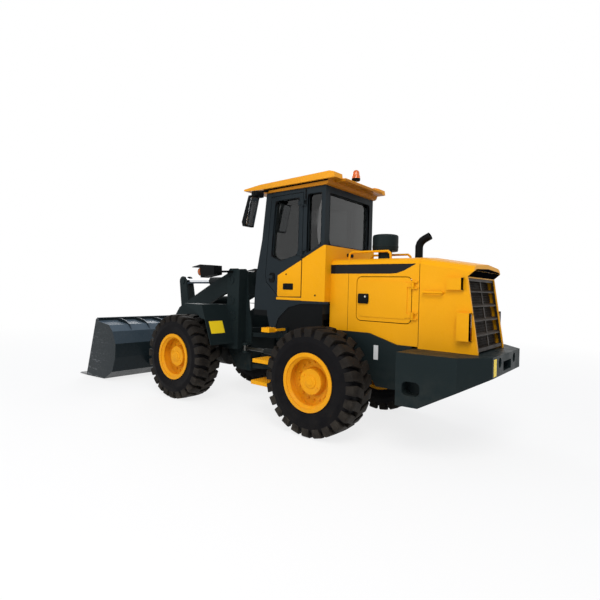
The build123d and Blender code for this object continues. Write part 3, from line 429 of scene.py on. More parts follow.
# %% [markdown]
# Two pieces wear two colours each. The ladders are charcoal inside the frame's width, and the roof's lower
# rim is a darker orange than its top, which is painted shade. A mask on the piece's own coordinates tells the
# parts of each apart.

# %% Two-colour pieces
frame_half, roof_rim_half, roof_rim_top = 0.663, 0.668, 3.255
mask_step = 0.001


def recolour(material, mask, colour):
    """Mixes another colour into a material's own where the mask is 1."""
    tree = material.node_tree
    base = tree.nodes["Principled BSDF"].inputs["Base Color"]
    link(tree, mixed(tree, mask, base.links[0].from_socket, colour), base)


def below(tree, value, limit):
    """A mask that is 1 where a value is under a limit."""
    return remap(tree, value, limit + mask_step, limit - mask_step)


tree = ladder_paint.node_tree
across = math_of(tree, "ABSOLUTE", own_axes(tree)["Y"], 0.0)
recolour(ladder_paint, below(tree, across, frame_half), (0.008, 0.012, 0.013, 1))
tree = roof_paint.node_tree
axes = own_axes(tree)
across = math_of(tree, "ABSOLUTE", axes["Y"], 0.0)
# The darker orange on the roof's lower rim is painted shade.
roof_rim_shade = math_of(tree, "MULTIPLY", below(tree, axes["Z"], roof_rim_top), below(tree, across, roof_rim_half))
recolour(roof_paint, roof_rim_shade, (0.40, 0.150, 0.008, 1))
print("two-colour paints", ladder_paint.name, roof_paint.name)

# %% [markdown]
# The bucket has the arm's charcoal outside, with a pale blue on what faces up as a painted reflection of
# the sky, but its floor and lip are scoured to grey steel. The scores group decides where, and it grows
# toward the cutting edge along X.

# %% Bucket steel and cutting edge
material, tree, shader = new_material("bucket_paint")
shader.inputs["Specular IOR Level"].default_value = 0.12
film = place_group(tree, paint_film, Color=(0.0100, 0.0160, 0.0190, 1), Fade=0.12, Gloss=0.28)
edges = place_group(tree, worn_and_highlit_edges, Color=film.outputs["Color"], Bare_Color=(0.05, 0.058, 0.062, 1),
                    Reach=0.010, Amount=0.5)
scores = place_group(tree, dig_scores, Amount=0.8)
lip = remap(tree, own_axes(tree)["X"], cad_high.x - 1.1, cad_high.x - 0.25)
scour = math_of(tree, "MULTIPLY", scores.outputs["Mask"], lip)
place = add_node(tree, "ShaderNodeTexCoord")
facing = add_node(tree, "ShaderNodeSeparateXYZ")
link(tree, place.outputs["Normal"], facing.inputs[0])
# A pale blue on faces that look up: a painted reflection of the sky.
sky_reflection_mask = remap(tree, facing.outputs["Z"], 0.25, 0.8, 0.0, 0.7)
sky_reflected_colour = mixed(tree, sky_reflection_mask, edges.outputs["Color"], (0.095, 0.140, 0.185, 1))
link(tree, mixed(tree, scour, sky_reflected_colour, (0.30, 0.31, 0.33, 1)), shader.inputs["Base Color"])
link(tree, film.outputs["Roughness"], shader.inputs["Roughness"])
link(tree, scour, shader.inputs["Metallic"])
bump(tree, scores.outputs["Height"], shader, 0.08, 0.001)
bucket_paint = material

material, tree, shader = new_material("edge_steel")
scores = place_group(tree, dig_scores, Amount=1.0)
film = place_group(tree, paint_film, Color=(0.20, 0.20, 0.205, 1), Fade=0.2, Gloss=0.36)
scored = mixed(tree, scores.outputs["Mask"], film.outputs["Color"], (0.42, 0.42, 0.43, 1))
link(tree, scored, shader.inputs["Base Color"])
link(tree, film.outputs["Roughness"], shader.inputs["Roughness"])
shader.inputs["Metallic"].default_value = 0.9
bump(tree, scores.outputs["Height"], shader, 0.15, 0.001)
edge_steel = material
print("dug steel", bucket_paint.name, edge_steel.name)

# %% [markdown]
# Cylinder rods are hard chrome with the faintest lines from their seals. Zinc-plated bolts and pins are
# duller, with a yellow-grey cast.

# %% Chrome and zinc
def bare_metal(name, colour, gloss, stretch, lines):
    material, tree, shader = new_material(name)
    film = place_group(tree, paint_film, Color=colour, Fade=0.08, Gloss=gloss)
    link(tree, film.outputs["Color"], shader.inputs["Base Color"])
    streak = noise_at(tree, lines, 3.0, stretch)
    rough = math_of(tree, "ADD", film.outputs["Roughness"], remap(tree, streak, 0.35, 0.65, -0.03, 0.07))
    link(tree, rough, shader.inputs["Roughness"])
    shader.inputs["Metallic"].default_value = 1.0
    bump(tree, streak, shader, 0.03, 0.0005)
    return material


chrome_rod = bare_metal("chrome_rod", (0.72, 0.74, 0.77, 1), 0.12, (0.1, 6, 6), 60.0)
oiled_rod = bare_metal("oiled_rod", (0.085, 0.085, 0.08, 1), 0.30, (0.1, 6, 6), 60.0)
zinc_plate = bare_metal("zinc_plate", (0.42, 0.41, 0.38, 1), 0.34, (1, 1, 1), 90.0)
mirror_glass = bare_metal("mirror_glass", (0.80, 0.82, 0.84, 1), 0.08, (1, 1, 1), 4.0)
print("metals", chrome_rod.name, oiled_rod.name, zinc_plate.name, mirror_glass.name)

# %% [markdown]
# Tyre rubber is a blue-black with a dull sheen, and the tread a dusty brown where it has touched the
# ground. Moulded plastic is close to it but harder and finely grained. What lies in deep shade is a black
# with no sheen.

# %% Rubber and plastic
def moulded(name, colour, pale, gloss, grain, dust, dust_top, strength, shine=0.04):
    """Grained rubber or plastic; pale is the colour of its edges, worn and with a painted highlight, strength
    that of the grain.
    """
    material, tree, shader = new_material(name)
    film = place_group(tree, paint_film, Color=colour, Fade=0.2, Gloss=gloss)
    edges = place_group(tree, worn_and_highlit_edges, Color=film.outputs["Color"], Bare_Color=pale, Reach=0.010,
                        Amount=0.6)
    dirt = place_group(tree, road_dust, Color=edges.outputs["Color"], High=dust_top, Amount=dust)
    link(tree, dirt.outputs["Color"], shader.inputs["Base Color"])
    link(tree, film.outputs["Roughness"], shader.inputs["Roughness"])
    shader.inputs["Specular IOR Level"].default_value = shine
    bump(tree, noise_at(tree, grain, 5.0), shader, strength, 0.002)
    return material


tyre_rubber = moulded("tyre_rubber", (0.0055, 0.0053, 0.0062, 1), (0.011, 0.0105, 0.011, 1),
                      0.5, 120.0, 0.02, 1.4, 0.15)
tread_rubber = moulded("tread_rubber", (0.0150, 0.0130, 0.0115, 1), (0.050, 0.044, 0.039, 1),
                       0.6, 90.0, 0.10, 1.4, 0.25)
black_plastic = moulded("black_plastic", (0.0052, 0.0060, 0.0064, 1), (0.016, 0.016, 0.017, 1),
                        0.45, 420.0, 0.0, 1.0, 0.08)
# A flat black with no sheen that paints deep shade.
shade_black = moulded("shade_black", (0.003, 0.003, 0.0035, 1), (0.006, 0.006, 0.006, 1),
                     0.9, 300.0, 0.0, 1.0, 0.05, 0.0)
seal_rubber = moulded("seal_rubber", (0.006, 0.006, 0.0065, 1), (0.015, 0.015, 0.015, 1),
                      0.55, 300.0, 0.0, 1.0, 0.05)
print("moulded", [m.name for m in (tyre_rubber, tread_rubber, black_plastic, shade_black, seal_rubber)])

# %% [markdown]
# The cab glass is tinted safety glass: it lets through a dim grey view and mirrors the studio. A trace of
# grime in its roughness keeps it from looking like a hole. Lamp lenses are the same stuff, coloured.

# %% Glass and lenses
def clear(name, colour, gloss, weight, shine=0.5):
    material, tree, shader = new_material(name)
    film = place_group(tree, paint_film, Color=colour, Fade=0.06, Gloss=gloss)
    link(tree, film.outputs["Color"], shader.inputs["Base Color"])
    grime = math_of(tree, "MAXIMUM", math_of(tree, "SUBTRACT", film.outputs["Roughness"], 0.02), 0.0)
    link(tree, grime, shader.inputs["Roughness"])
    shader.inputs["Transmission Weight"].default_value = weight
    shader.inputs["Specular IOR Level"].default_value = shine
    shader.inputs["IOR"].default_value = 1.48
    return material


tinted_glass = clear("tinted_glass", (0.085, 0.092, 0.092, 1), 0.02, 1.0, 0.15)
amber_lens = clear("amber_lens", (0.80, 0.17, 0.012, 1), 0.08, 0.45)
red_lens = clear("red_lens", (0.22, 0.012, 0.010, 1), 0.08, 0.35)
pale_lens = clear("pale_lens", (0.80, 0.82, 0.84, 1), 0.05, 0.75)
print("clear", tinted_glass.name, amber_lens.name, red_lens.name, pale_lens.name)

# %% [markdown]
# Seat cloth is a coarse twill. Two wave textures at right angles, on the cloth's own coordinates, make its
# threads.

# %% Seat cloth and stickers
material, tree, shader = new_material("seat_cloth")
place = add_node(tree, "ShaderNodeTexCoord")
warp = add_node(tree, "ShaderNodeTexWave", Scale=260.0, Distortion=0.6, bands_direction="Y")
weft = add_node(tree, "ShaderNodeTexWave", Scale=260.0, Distortion=0.6, bands_direction="DIAGONAL")
link(tree, place.outputs["Object"], warp.inputs["Vector"])
link(tree, place.outputs["Object"], weft.inputs["Vector"])
thread = math_of(tree, "MAXIMUM", warp.outputs["Fac"], weft.outputs["Fac"])
film = place_group(tree, paint_film, Color=(0.020, 0.021, 0.023, 1), Fade=0.25, Gloss=0.8)
link(tree, mixed(tree, thread, film.outputs["Color"], (0.045, 0.046, 0.05, 1)), shader.inputs["Base Color"])
shader.inputs["Roughness"].default_value = 0.85
shader.inputs["Sheen Weight"].default_value = 0.3
bump(tree, thread, shader, 0.4, 0.0006)
seat_cloth = material

reflector = painted("reflector_strip", (0.95, 0.68, 0.02, 1), fade=0.05, gloss=0.2, worn_and_lit_tone=(0.9, 0.8, 0.3, 1),
                    worn_and_lit_amount=0.2, dust=0.0)
blank_label = painted("blank_label", (0.62, 0.63, 0.62, 1), fade=0.05, worn_and_lit_tone=(0.4, 0.4, 0.4, 1), dust=0.1)
stripe_film = painted("stripe_film", (0.010, 0.0105, 0.012, 1), fade=0.1, gloss=0.25,
                      worn_and_lit_tone=(0.03, 0.03, 0.03, 1), worn_and_lit_amount=0.2, dust=0.0)
print("materials in all", len(bpy.data.materials))

# %% [markdown]
# ## The CAD nodes' finishes
# The nodes whose shapes are right keep their meshes and only swap their plain materials for these.

# %% Hand out the materials
finishes = {
    yellow_paint: "hood_shell hood_rear hood_rails hood_door_left hood_door_right side_panels",
    ladder_paint: "ladders",
    roof_paint: "cab_roof",
    rim_paint: "rim_front_left rim_front_right rim_rear_left rim_rear_right",
    charcoal_paint: "rear_frame counterweight tanks front_frame front_fenders boom bellcrank bucket_link"
                    " air_cleaner",
    cab_paint: "cab_frame arch_panels cab_door_left cab_door_right",
    bucket_paint: "bucket",
    edge_steel: "cutting_edge",
    cast_iron: "rear_axle front_axle engine gearbox radiator lift_barrels tilt_barrel"
               " steer_barrel_left steer_barrel_right",
    chrome_rod: "lift_rods tilt_rod",
    oiled_rod: "steer_rod_left steer_rod_right",
    tyre_rubber: "tyre_front_left tyre_front_right tyre_rear_left tyre_rear_right",
    tinted_glass: "cab_glass door_glass_left door_glass_right",
    grille_paint: "grille",
    black_plastic: "exhaust_pipe mirrors headlamps steering_column seat_base cab_floor",
    amber_lens: "beacon",
    pale_lens: "rear_lamps",
    seat_cloth: "seat_cushions",
}
for material, names in finishes.items():
    for name in names.split():
        slots = nodes[name].data.materials
        slots.clear()
        slots.append(material)
print("nodes left plain:", sorted(set(nodes) - set(" ".join(finishes.values()).split())))

# %% [markdown]
# ## Tools for new pieces
# Every new piece starts as a bmesh, is shaped by bmesh operators, and ends the same way: doubles merged,
# normals made to point outwards, smooth shading up to an angle, one material, and a ride on the body that
# carries it.

# %% Piece tools
def shown(name, bm, material, body, angle=32):
    """Turns a bmesh into a piece that rides on a body; angle is where shading turns sharp."""
    bmesh.ops.remove_doubles(bm, verts=bm.verts, dist=1e-6)
    bmesh.ops.recalc_face_normals(bm, faces=bm.faces)
    mesh = bpy.data.meshes.new(name)
    bm.to_mesh(mesh)
    bm.free()
    for face in mesh.polygons:
        face.use_smooth = True
    mesh.set_sharp_from_angle(angle=radians(angle))
    mesh.materials.append(material)
    piece = bpy.data.objects.new(name, mesh)
    scene.collection.objects.link(piece)
    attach(piece, body)
    return piece


def softened(bm, edges, width, segments=2):
    """Bevels edges by a width."""
    bmesh.ops.bevel(bm, geom=edges, offset=width, segments=segments, profile=0.5, affect="EDGES", material=-1,
                    clamp_overlap=True)


def block(bm, low, high, edge=0.003, segments=2):
    """A block between two corners with softened edges."""
    low, high = Vector(low), Vector(high)
    fit = Matrix.Translation((low + high) / 2) @ Matrix.Diagonal((*(high - low), 1))
    made = bmesh.ops.create_cube(bm, size=1, matrix=fit)["verts"]
    if edge:
        softened(bm, list({e for v in made for e in v.link_edges}), edge, segments)


def turned_to(axis):
    return Vector((0, 0, 1)).rotation_difference(Vector(axis)).to_matrix().to_4x4()


def disc(bm, place, axis, radius, height, segments=32, top=None, edge=0.0):
    """A round or many-sided disc that stands on place along axis."""
    axis = Vector(axis).normalized()
    fit = Matrix.Translation(Vector(place) + axis * height / 2) @ turned_to(axis)
    made = bmesh.ops.create_cone(bm, cap_ends=True, segments=segments, radius1=radius, radius2=top or radius,
                                 depth=height, matrix=fit)["verts"]
    if edge:
        around = {e for v in made for e in v.link_edges if len(e.link_faces) == 2}
        softened(bm, [e for e in around if e.calc_face_angle() > 0.9], edge)


def bolt(bm, place, axis, size):
    """A hexagon bolt head on a washer; size is the head's radius."""
    disc(bm, place, axis, size * 1.35, size * 0.22, 20)
    disc(bm, Vector(place) + Vector(axis).normalized() * size * 0.2, axis, size, size * 0.75, 6, size * 0.94)


def stick(bm, start, end, radius, segments):
    """A round rod between two places."""
    start, end = Vector(start), Vector(end)
    disc(bm, start, end - start, radius, (end - start).length, segments)


def outline(bm, points, corner=0.0, segments=6):
    """A flat face through points, with its corners rounded."""
    face = bm.faces.new([bm.verts.new(p) for p in points])
    if corner:
        made = bmesh.ops.bevel(bm, geom=list(face.verts), offset=corner, segments=segments, profile=0.5,
                               affect="VERTICES", material=-1, clamp_overlap=True)
        face = made["verts"][0].link_faces[0]
    return face


def plate(bm, points, thick, corner=0.0, edge=0.0):
    """A flat outline given thickness along a vector, its far rim softened."""
    face = outline(bm, points, corner)
    made = bmesh.ops.extrude_face_region(bm, geom=[face])["geom"]
    tops = [v for v in made if isinstance(v, bmesh.types.BMVert)]
    bmesh.ops.translate(bm, verts=tops, vec=thick)
    if edge:
        rim = [e for e in made if isinstance(e, bmesh.types.BMEdge)]
        softened(bm, rim, edge)


def shrunk(points, width):
    """The points of an outline moved inward by a width."""
    spare = bmesh.new()
    face = outline(spare, points)
    bmesh.ops.inset_region(spare, faces=[face], thickness=width, use_even_offset=True)
    found = [v.co.copy() for v in face.verts]
    spare.free()
    return found


def frame_plate(bm, points, width, thick, corner, inner_corner):
    """A flat ring between an outline and the same outline moved inward."""
    edges = []
    for line, turn in ((points, corner), (shrunk(points, width), inner_corner)):
        face = outline(bm, line, turn)
        edges += list(face.edges)
        bmesh.ops.delete(bm, geom=[face], context="FACES_ONLY")
    filled = bmesh.ops.triangle_fill(bm, use_beauty=True, use_dissolve=False, edges=edges)["geom"]
    faces = [f for f in filled if isinstance(f, bmesh.types.BMFace)]
    made = bmesh.ops.extrude_face_region(bm, geom=faces)["geom"]
    bmesh.ops.translate(bm, verts=[v for v in made if isinstance(v, bmesh.types.BMVert)], vec=thick)


def oblong(start, end, low, high):
    """The corners of an upright rectangle."""
    return [(start, low), (end, low), (end, high), (start, high)]


def on_side(points, y):
    """Side view points, as X from the rear axle and Z, put at a Y."""
    return [Vector((rear_x + x, y, z)) for x, z in points]


print("piece tools ready")

# %% [markdown]
# ## Tyres
# A loader tyre has a plain bulging sidewall and deep lugs that start on the shoulder, cross the tread and
# bend before the middle, where lugs from the other side fall into the gaps. The carcass is a profile spun
# round the axle. One lug is a small grid laid along a path on the tread, extruded down into the carcass and
# bevelled, and then spun into a full set.

# %% Tyre carcass and lugs
lug_count = 24
carcass_line = [
    (0.336, 0.194), (0.352, 0.203), (0.372, 0.199), (0.384, 0.206), (0.400, 0.208), (0.430, 0.2165),
    (0.470, 0.221), (0.476, 0.2235), (0.500, 0.2245), (0.506, 0.2220), (0.545, 0.2190), (0.578, 0.2070),
    (0.602, 0.184), (0.616, 0.150), (0.620, 0.075), (0.620, 0.0)]
# Each point is a share of the lug's length, a radius, a place across the tread and a place along it.
lug_path = [
    (0.0, 0.5600, 0.2195, 0.000), (0.16, 0.6150, 0.2205, 0.000), (0.30, 0.6490, 0.2120, 0.000),
    (0.42, 0.6655, 0.1850, 0.000), (0.55, 0.6690, 0.1350, -0.004), (0.72, 0.6700, 0.0800, -0.030),
    (1.0, 0.6700, -0.0050, -0.070)]
lug_stations = [0, 0.16, 0.30, 0.42, 0.55, 0.72, 0.86, 1.0]
lug_root = 0.066


def along_lug(share):
    """Radius, width place and forward place on the lug's path at a share of its length."""
    for (s0, *a), (s1, *b) in zip(lug_path, lug_path[1:]):
        if share <= s1 + 1e-6:
            t = (share - s0) / (s1 - s0)
            return [p + (q - p) * t for p, q in zip(a, b)]


def add_lug(bm):
    """One lug at the top of the tyre: a grid along the path, walled down into the carcass."""
    steps = len(lug_stations) - 1
    made = bmesh.ops.create_grid(bm, x_segments=steps, y_segments=1, size=0.5)["verts"]
    for v in made:
        share = lug_stations[round((v.co.x + 0.5) * steps)]
        r, y, ahead = along_lug(share)
        wide = 0.116 if share < 0.5 else 0.122 - 0.040 * (share - 0.5)
        angle = (ahead + v.co.y * wide) / tyre_radius
        v.co = Vector((r * sin(angle), y, r * cos(angle)))
    top = list({f for v in made for f in v.link_faces})
    for face in top:
        face.material_index = 1
    walls = bmesh.ops.extrude_face_region(bm, geom=top, use_keep_orig=True)["geom"]
    for v in walls:
        if isinstance(v, bmesh.types.BMVert):
            sunk = 1 - lug_root / (v.co.x ** 2 + v.co.z ** 2) ** 0.5
            v.co = Vector((v.co.x * sunk, v.co.y * 0.92, v.co.z * sunk))
    rim = [e for f in top for e in f.edges if sum(1 for g in e.link_faces if g in top) == 1]
    bmesh.ops.bevel(bm, geom=list(set(rim)), offset=0.006, segments=2, profile=0.5, affect="EDGES",
                    material=-1)


def lugged_tyre():
    """A tyre round the origin: a spun carcass, and one lug placed round both of its shoulders."""
    bm = bmesh.new()
    line = carcass_line + [(r, -y) for r, y in carcass_line[-2::-1]]
    rail = [bm.verts.new((0, y, r)) for r, y in line]
    edges = [bm.edges.new(pair) for pair in zip(rail, rail[1:])]
    edges.append(bm.edges.new((rail[-1], rail[0])))
    bmesh.ops.spin(bm, geom=rail + edges, axis=(0, 1, 0), cent=(0, 0, 0), steps=96, angle=tau, use_merge=True)
    bmesh.ops.remove_doubles(bm, verts=bm.verts, dist=1e-6)
    one = bmesh.new()
    add_lug(one)
    bmesh.ops.recalc_face_normals(one, faces=one.faces)
    lug = bpy.data.meshes.new("one_lug")
    one.to_mesh(lug)
    one.free()
    for index in range(lug_count):
        for side, shift in ((1, 0.0), (-1, 0.5)):
            spare = bmesh.new()
            spare.from_mesh(lug)
            if side < 0:
                bmesh.ops.scale(spare, vec=(1, -1, 1), verts=spare.verts)
                bmesh.ops.reverse_faces(spare, faces=spare.faces)
            turn = Matrix.Rotation((index + shift) * tau / lug_count, 4, "Y")
            bmesh.ops.transform(spare, matrix=turn, verts=spare.verts)
            placed = bpy.data.meshes.new("placed_lug")
            spare.to_mesh(placed)
            spare.free()
            bm.from_mesh(placed)
            bpy.data.meshes.remove(placed)
    bpy.data.meshes.remove(lug)
    return bm


wheels = [(end, side, x, sign) for end, x in (("front", front_x), ("rear", rear_x)) for side, sign in sides]
for end, side, x, sign in wheels:
    bm = lugged_tyre()
    if sign < 0:
        bmesh.ops.scale(bm, vec=(1, -1, 1), verts=bm.verts)
        bmesh.ops.reverse_faces(bm, faces=bm.faces)
    bmesh.ops.translate(bm, verts=bm.verts, vec=(x, sign * track_y, tyre_radius))
    faces = len(bm.faces)
    tyre = shown(f"lug_tyre_{end}_{side}", bm, tyre_rubber, f"wheel_{end}_{side}", 40)
    tyre.data.materials.append(tread_rubber)
    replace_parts(tyre, f"tyre_{end}_{side}")
print("each tyre has", faces, "faces")

# %% [markdown]
# ## Wheel trim
# The rim's flange falls inward as a broad cone before the deep dish, which carries a hub cap. The cone is a
# profile spun round the axle. On the cap sit a low boss, a level plug and a drain plug, and round it a ring
# of wheel nuts on their studs, half in the dish's shadow.

# %% Rim cones, hub bosses, plugs and wheel nuts
def lathe(bm, place, axis, line, steps=40):
    """A profile of radius and height, spun round an axis through place."""
    fit = Matrix.Translation(place) @ turned_to(axis)
    rail = [bm.verts.new(fit @ Vector((radius, 0, height))) for radius, height in line]
    edges = [bm.edges.new(pair) for pair in zip(rail, rail[1:])]
    bmesh.ops.spin(bm, geom=rail + edges, cent=place, axis=axis, steps=steps, angle=tau, use_merge=True)
    bmesh.ops.remove_doubles(bm, verts=bm.verts, dist=1e-6)


cone_line = [(0.350, 0.206), (0.350, 0.2145), (0.342, 0.2150), (0.318, 0.205), (0.292, 0.178),
             (0.284, 0.166), (0.286, 0.158), (0.318, 0.158)]
plug_ring, nut_ring, nut_count = 0.120, 0.232, 16
for end, side, x, sign in wheels:
    face_y = track_y + 0.130
    dish_y = track_y + 0.042
    axis = (0, sign, 0)
    bm = bmesh.new()
    lathe(bm, Vector((x, sign * track_y, tyre_radius)), Vector(axis), cone_line, 72)
    shown(f"rim_cone_{end}_{side}", bm, rim_paint, f"wheel_{end}_{side}")
    bm = bmesh.new()
    disc(bm, (x, sign * face_y, tyre_radius), axis, 0.082, 0.010, 48, 0.076, 0.003)
    disc(bm, (x, sign * (face_y + 0.010), tyre_radius), axis, 0.046, 0.006, 32, 0.042)
    for angle in (0.6, 0.6 + pi):
        place = (x + plug_ring * cos(angle), sign * face_y, tyre_radius + plug_ring * sin(angle))
        disc(bm, place, axis, 0.013, 0.010, 6, 0.012)
    shown(f"hub_boss_{end}_{side}", bm, rim_paint, f"wheel_{end}_{side}")
    bm = bmesh.new()
    for index in range(nut_count):
        angle = index * tau / nut_count
        place = Vector((x + nut_ring * cos(angle), sign * dish_y, tyre_radius + nut_ring * sin(angle)))
        bolt(bm, place, axis, 0.016)
        disc(bm, place + Vector(axis) * 0.014, axis, 0.008, 0.010, 12)
    shown(f"wheel_nuts_{end}_{side}", bm, rim_paint, f"wheel_{end}_{side}")
print("wheels dressed:", len(wheels))

# %% [markdown]
# ## Cab side
# On the real cab a yellow wedge runs from the rear corner down over the lower part of the door, and the
# door carries its own share of it. Thin skins with rounded corners do this: one rides on each door, and a
# sill strip stays on the cab. Under them a black sheet in the wheel arch paints the deep shade inside it.

# %% Yellow door skins, sills and painted shade in the arches
cab_side = 0.635
door_skin = [(0.500, 1.695), (0.902, 1.684), (0.914, 1.702), (0.914, 1.985), (0.500, 2.194)]
sill = [(0.480, 1.642), (0.926, 1.642), (0.926, 1.676), (0.480, 1.680)]
arch_shade_outline = [(0.130, 1.608), (0.480, 1.598), (0.700, 1.538), (0.875, 1.380), (0.950, 1.170), (0.130, 1.170)]
for side, sign in sides:
    bm = bmesh.new()
    plate(bm, on_side(door_skin, sign * cab_side), (0, sign * 0.010, 0), 0.022, 0.003)
    shown(f"door_skin_{side}", bm, yellow_paint, f"cab_door_{side}_body")
    bm = bmesh.new()
    plate(bm, on_side(sill, sign * cab_side), (0, sign * 0.012, 0), 0.004, 0.002)
    shown(f"door_sill_{side}", bm, yellow_paint, "rear_body")
    bm = bmesh.new()
    # A black sheet across the wheel arch: painted shade.
    plate(bm, on_side(arch_shade_outline, sign * (cab_side + 0.0005)), (0, sign * 0.003, 0), 0.015)
    shown(f"arch_shade_{side}", bm, black_plastic, "rear_body")
print("door skins end at", round(cab_side + 0.010, 3))

# %% [markdown]
# The door has a black latch plate with a paddle and a lock, an oval grip pocket at its front edge, and a
# dark bar on the pillar at its upper hinge. They are small moulded parts, so rounded plates, blocks and
# discs are enough. A plug on the yellow wedge and the keyhole above the latch are single turned discs.

# %% Door furniture
latch_plate = oblong(0.629, 0.807, 1.785, 1.873)
latch_paddle = oblong(0.645, 0.735, 1.803, 1.855)
grip_pocket = oblong(0.973, 1.074, 1.883, 2.023)
grip_bar = oblong(0.990, 1.057, 1.945, 1.963)
latch_thick = 0.007
for side, sign in sides:
    out = Vector((0, sign, 0))
    skin_y = sign * (cab_side + 0.010)
    bm = bmesh.new()
    latch_y = skin_y + sign * latch_thick
    plate(bm, on_side(latch_plate, skin_y), out * latch_thick, 0.012, 0.002)
    plate(bm, on_side(latch_paddle, latch_y), out * 0.006, 0.010, 0.002)
    disc(bm, (rear_x + 0.772, latch_y, 1.829), out, 0.017, 0.007, 24, 0.015)
    frame_plate(bm, on_side(grip_pocket, sign * cab_side), 0.010, out * 0.009, 0.048, 0.038)
    plate(bm, on_side(grip_pocket, sign * cab_side), out * 0.002, 0.048)
    plate(bm, on_side(grip_bar, sign * (cab_side + 0.002)), out * 0.006, 0.006, 0.002)
    disc(bm, (rear_x + 0.757, skin_y, 2.000), out, 0.012, 0.005, 20, 0.010)
    shown(f"door_latch_{side}", bm, black_plastic, f"cab_door_{side}_body")
    bm = bmesh.new()
    block(bm, (rear_x + 0.440, sign * cab_side - 0.004, 2.938),
          (rear_x + 0.462, sign * cab_side + 0.008, 3.165), 0.004)
    for height in (2.965, 3.050, 3.138):
        bolt(bm, (rear_x + 0.451, sign * (cab_side + 0.008), height), out, 0.007)
    shown(f"pillar_cover_{side}", bm, black_plastic, "rear_body")
    bm = bmesh.new()
    disc(bm, (rear_x + 0.250, sign * 0.650, 1.719), out, 0.013, 0.005, 20, 0.011)
    shown(f"panel_plug_{side}", bm, black_plastic, "rear_body")
print("door furniture on both sides")

# %% [markdown]
# Windows sit in wide black rubber with rounded corners. Each seal is a ring between the window's
# straight-edged cut and a rounded, smaller outline; filling between the two loops and extruding gives it at
# once.

# %% Window seals
door_window = [(0.565, 2.270), (0.880, 2.190), (1.055, 2.260), (1.040, 2.500), (0.995, 3.050), (0.565, 3.060)]
quarter_window = [(0.190, 2.400), (0.420, 2.285), (0.420, 3.090), (0.190, 3.090)]
seal_in, seal_thick = 0.020, 0.024
for side, sign in sides:
    bm = bmesh.new()
    seal_y, seal_out = sign * (cab_side - seal_in), (0, sign * seal_thick, 0)
    frame_plate(bm, on_side(door_window, seal_y), 0.030, seal_out, 0.004, 0.075)
    shown(f"door_seal_{side}", bm, seal_rubber, f"cab_door_{side}_body")
    bm = bmesh.new()
    frame_plate(bm, on_side(quarter_window, seal_y), 0.024, seal_out, 0.004, 0.050)
    shown(f"quarter_seal_{side}", bm, seal_rubber, "rear_body")
rear_cut = oblong(-0.530, 0.530, 2.400, 3.090)
bm = bmesh.new()
frame_plate(bm, [Vector((rear_x + 0.150, y, z)) for y, z in rear_cut], 0.030, (-seal_thick, 0, 0), 0.004, 0.070)
shown("rear_seal", bm, seal_rubber, "rear_body")
print("seals made for", len(sides) * 2 + 1, "windows")

# %% [markdown]
# ## Hood
# A black stripe with a pointed tail runs along each side of the hood under its shoulder. It is a thick
# decal, so its edge shows; the place for lettering stays bare. The hood door's latch is a black moulding
# with a bright lock in it.

# %% Hood stripes and latches
hood_half = 0.520
stripe = [(0.092, 2.014), (-0.760, 2.014), (-0.840, 2.020), (-0.932, 2.050), (-1.074, 2.126),
          (-1.070, 2.131), (0.092, 2.131)]
hood_latch = oblong(-0.479, -0.335, 1.640, 1.763)
for side, sign in sides:
    out = Vector((0, sign, 0))
    bm = bmesh.new()
    plate(bm, on_side(stripe, sign * hood_half), out * 0.0022)
    shown(f"hood_stripe_{side}", bm, stripe_film, "rear_body")
    bm = bmesh.new()
    plate(bm, on_side(hood_latch, sign * (hood_half + 0.008)), out * 0.018, 0.016, 0.004)
    shown(f"hood_latch_{side}", bm, black_plastic, f"hood_door_{side}_body")
    bm = bmesh.new()
    disc(bm, (rear_x - 0.440, sign * (hood_half + 0.026), 1.728), out, 0.013, 0.005, 20, 0.011)
    shown(f"hood_lock_{side}", bm, zinc_plate, f"hood_door_{side}_body")
print("stripe length", round(stripe[0][0] - stripe[4][0], 3))

# %% [markdown]
# Two upright joints divide the hood. The CAD model has their grooves, and a dark sealing strip set in each
# one makes the line as strong as on the real sheet metal. Under the hood's rear lip, black sheets paint the
# deep shade there. Behind the grille's bars stands a dark screen of wires, and behind the wires a dark sheet
# paints the shade inside the hood, so that the lit inside of the hood doesn't shine through.

# %% Hood joints, painted shade under the lip, and grille screen with painted shade behind it
lip_x, brow_x, foot_x, brow_z, foot_z = -1.722, -1.655, -1.781, 1.985, 1.170
bm = bmesh.new()
for side, sign in sides:
    for x, low_z, deep in ((-1.1215, 1.172, 0.0040), (-0.1775, 1.285, 0.0035)):
        block(bm, (rear_x + x - 0.005, sign * (hood_half - deep) - 0.0008, low_z),
              (rear_x + x, sign * (hood_half - deep) + 0.0008, 2.128), 0)
shown("hood_joint_strips", bm, seal_rubber, "rear_body")
bm = bmesh.new()
# Black sheets on the lip's rear face and under it: painted shade.
lip_back = [(-0.480, 2.047), (0.480, 2.047), (0.455, 2.060), (0.400, 2.068), (0.0, 2.086),
            (-0.400, 2.068), (-0.455, 2.060)]
plate(bm, [Vector((rear_x + lip_x, y, z)) for y, z in lip_back], (-0.002, 0, 0))
under = [(lip_x - 0.001, 0.500, 2.045), (lip_x - 0.001, -0.500, 2.045), (brow_x, -0.500, brow_z),
         (brow_x, 0.500, brow_z)]
plate(bm, [Vector((rear_x + x, y, z)) for x, y, z in under], (-0.0015, 0, -0.002))
shown("lip_shade", bm, shade_black, "rear_body")


def behind_grille(y, z, inset):
    """A place on a plane that follows the grille's slant, some way inside it."""
    return Vector((rear_x + brow_x + inset + (foot_x - brow_x) * (brow_z - z) / (brow_z - foot_z), y, z))


bm = bmesh.new()
screen_half, wire_gap, wire_radius = 0.482, 0.030, 0.0025
upright_wires, level_wires = 33, 26
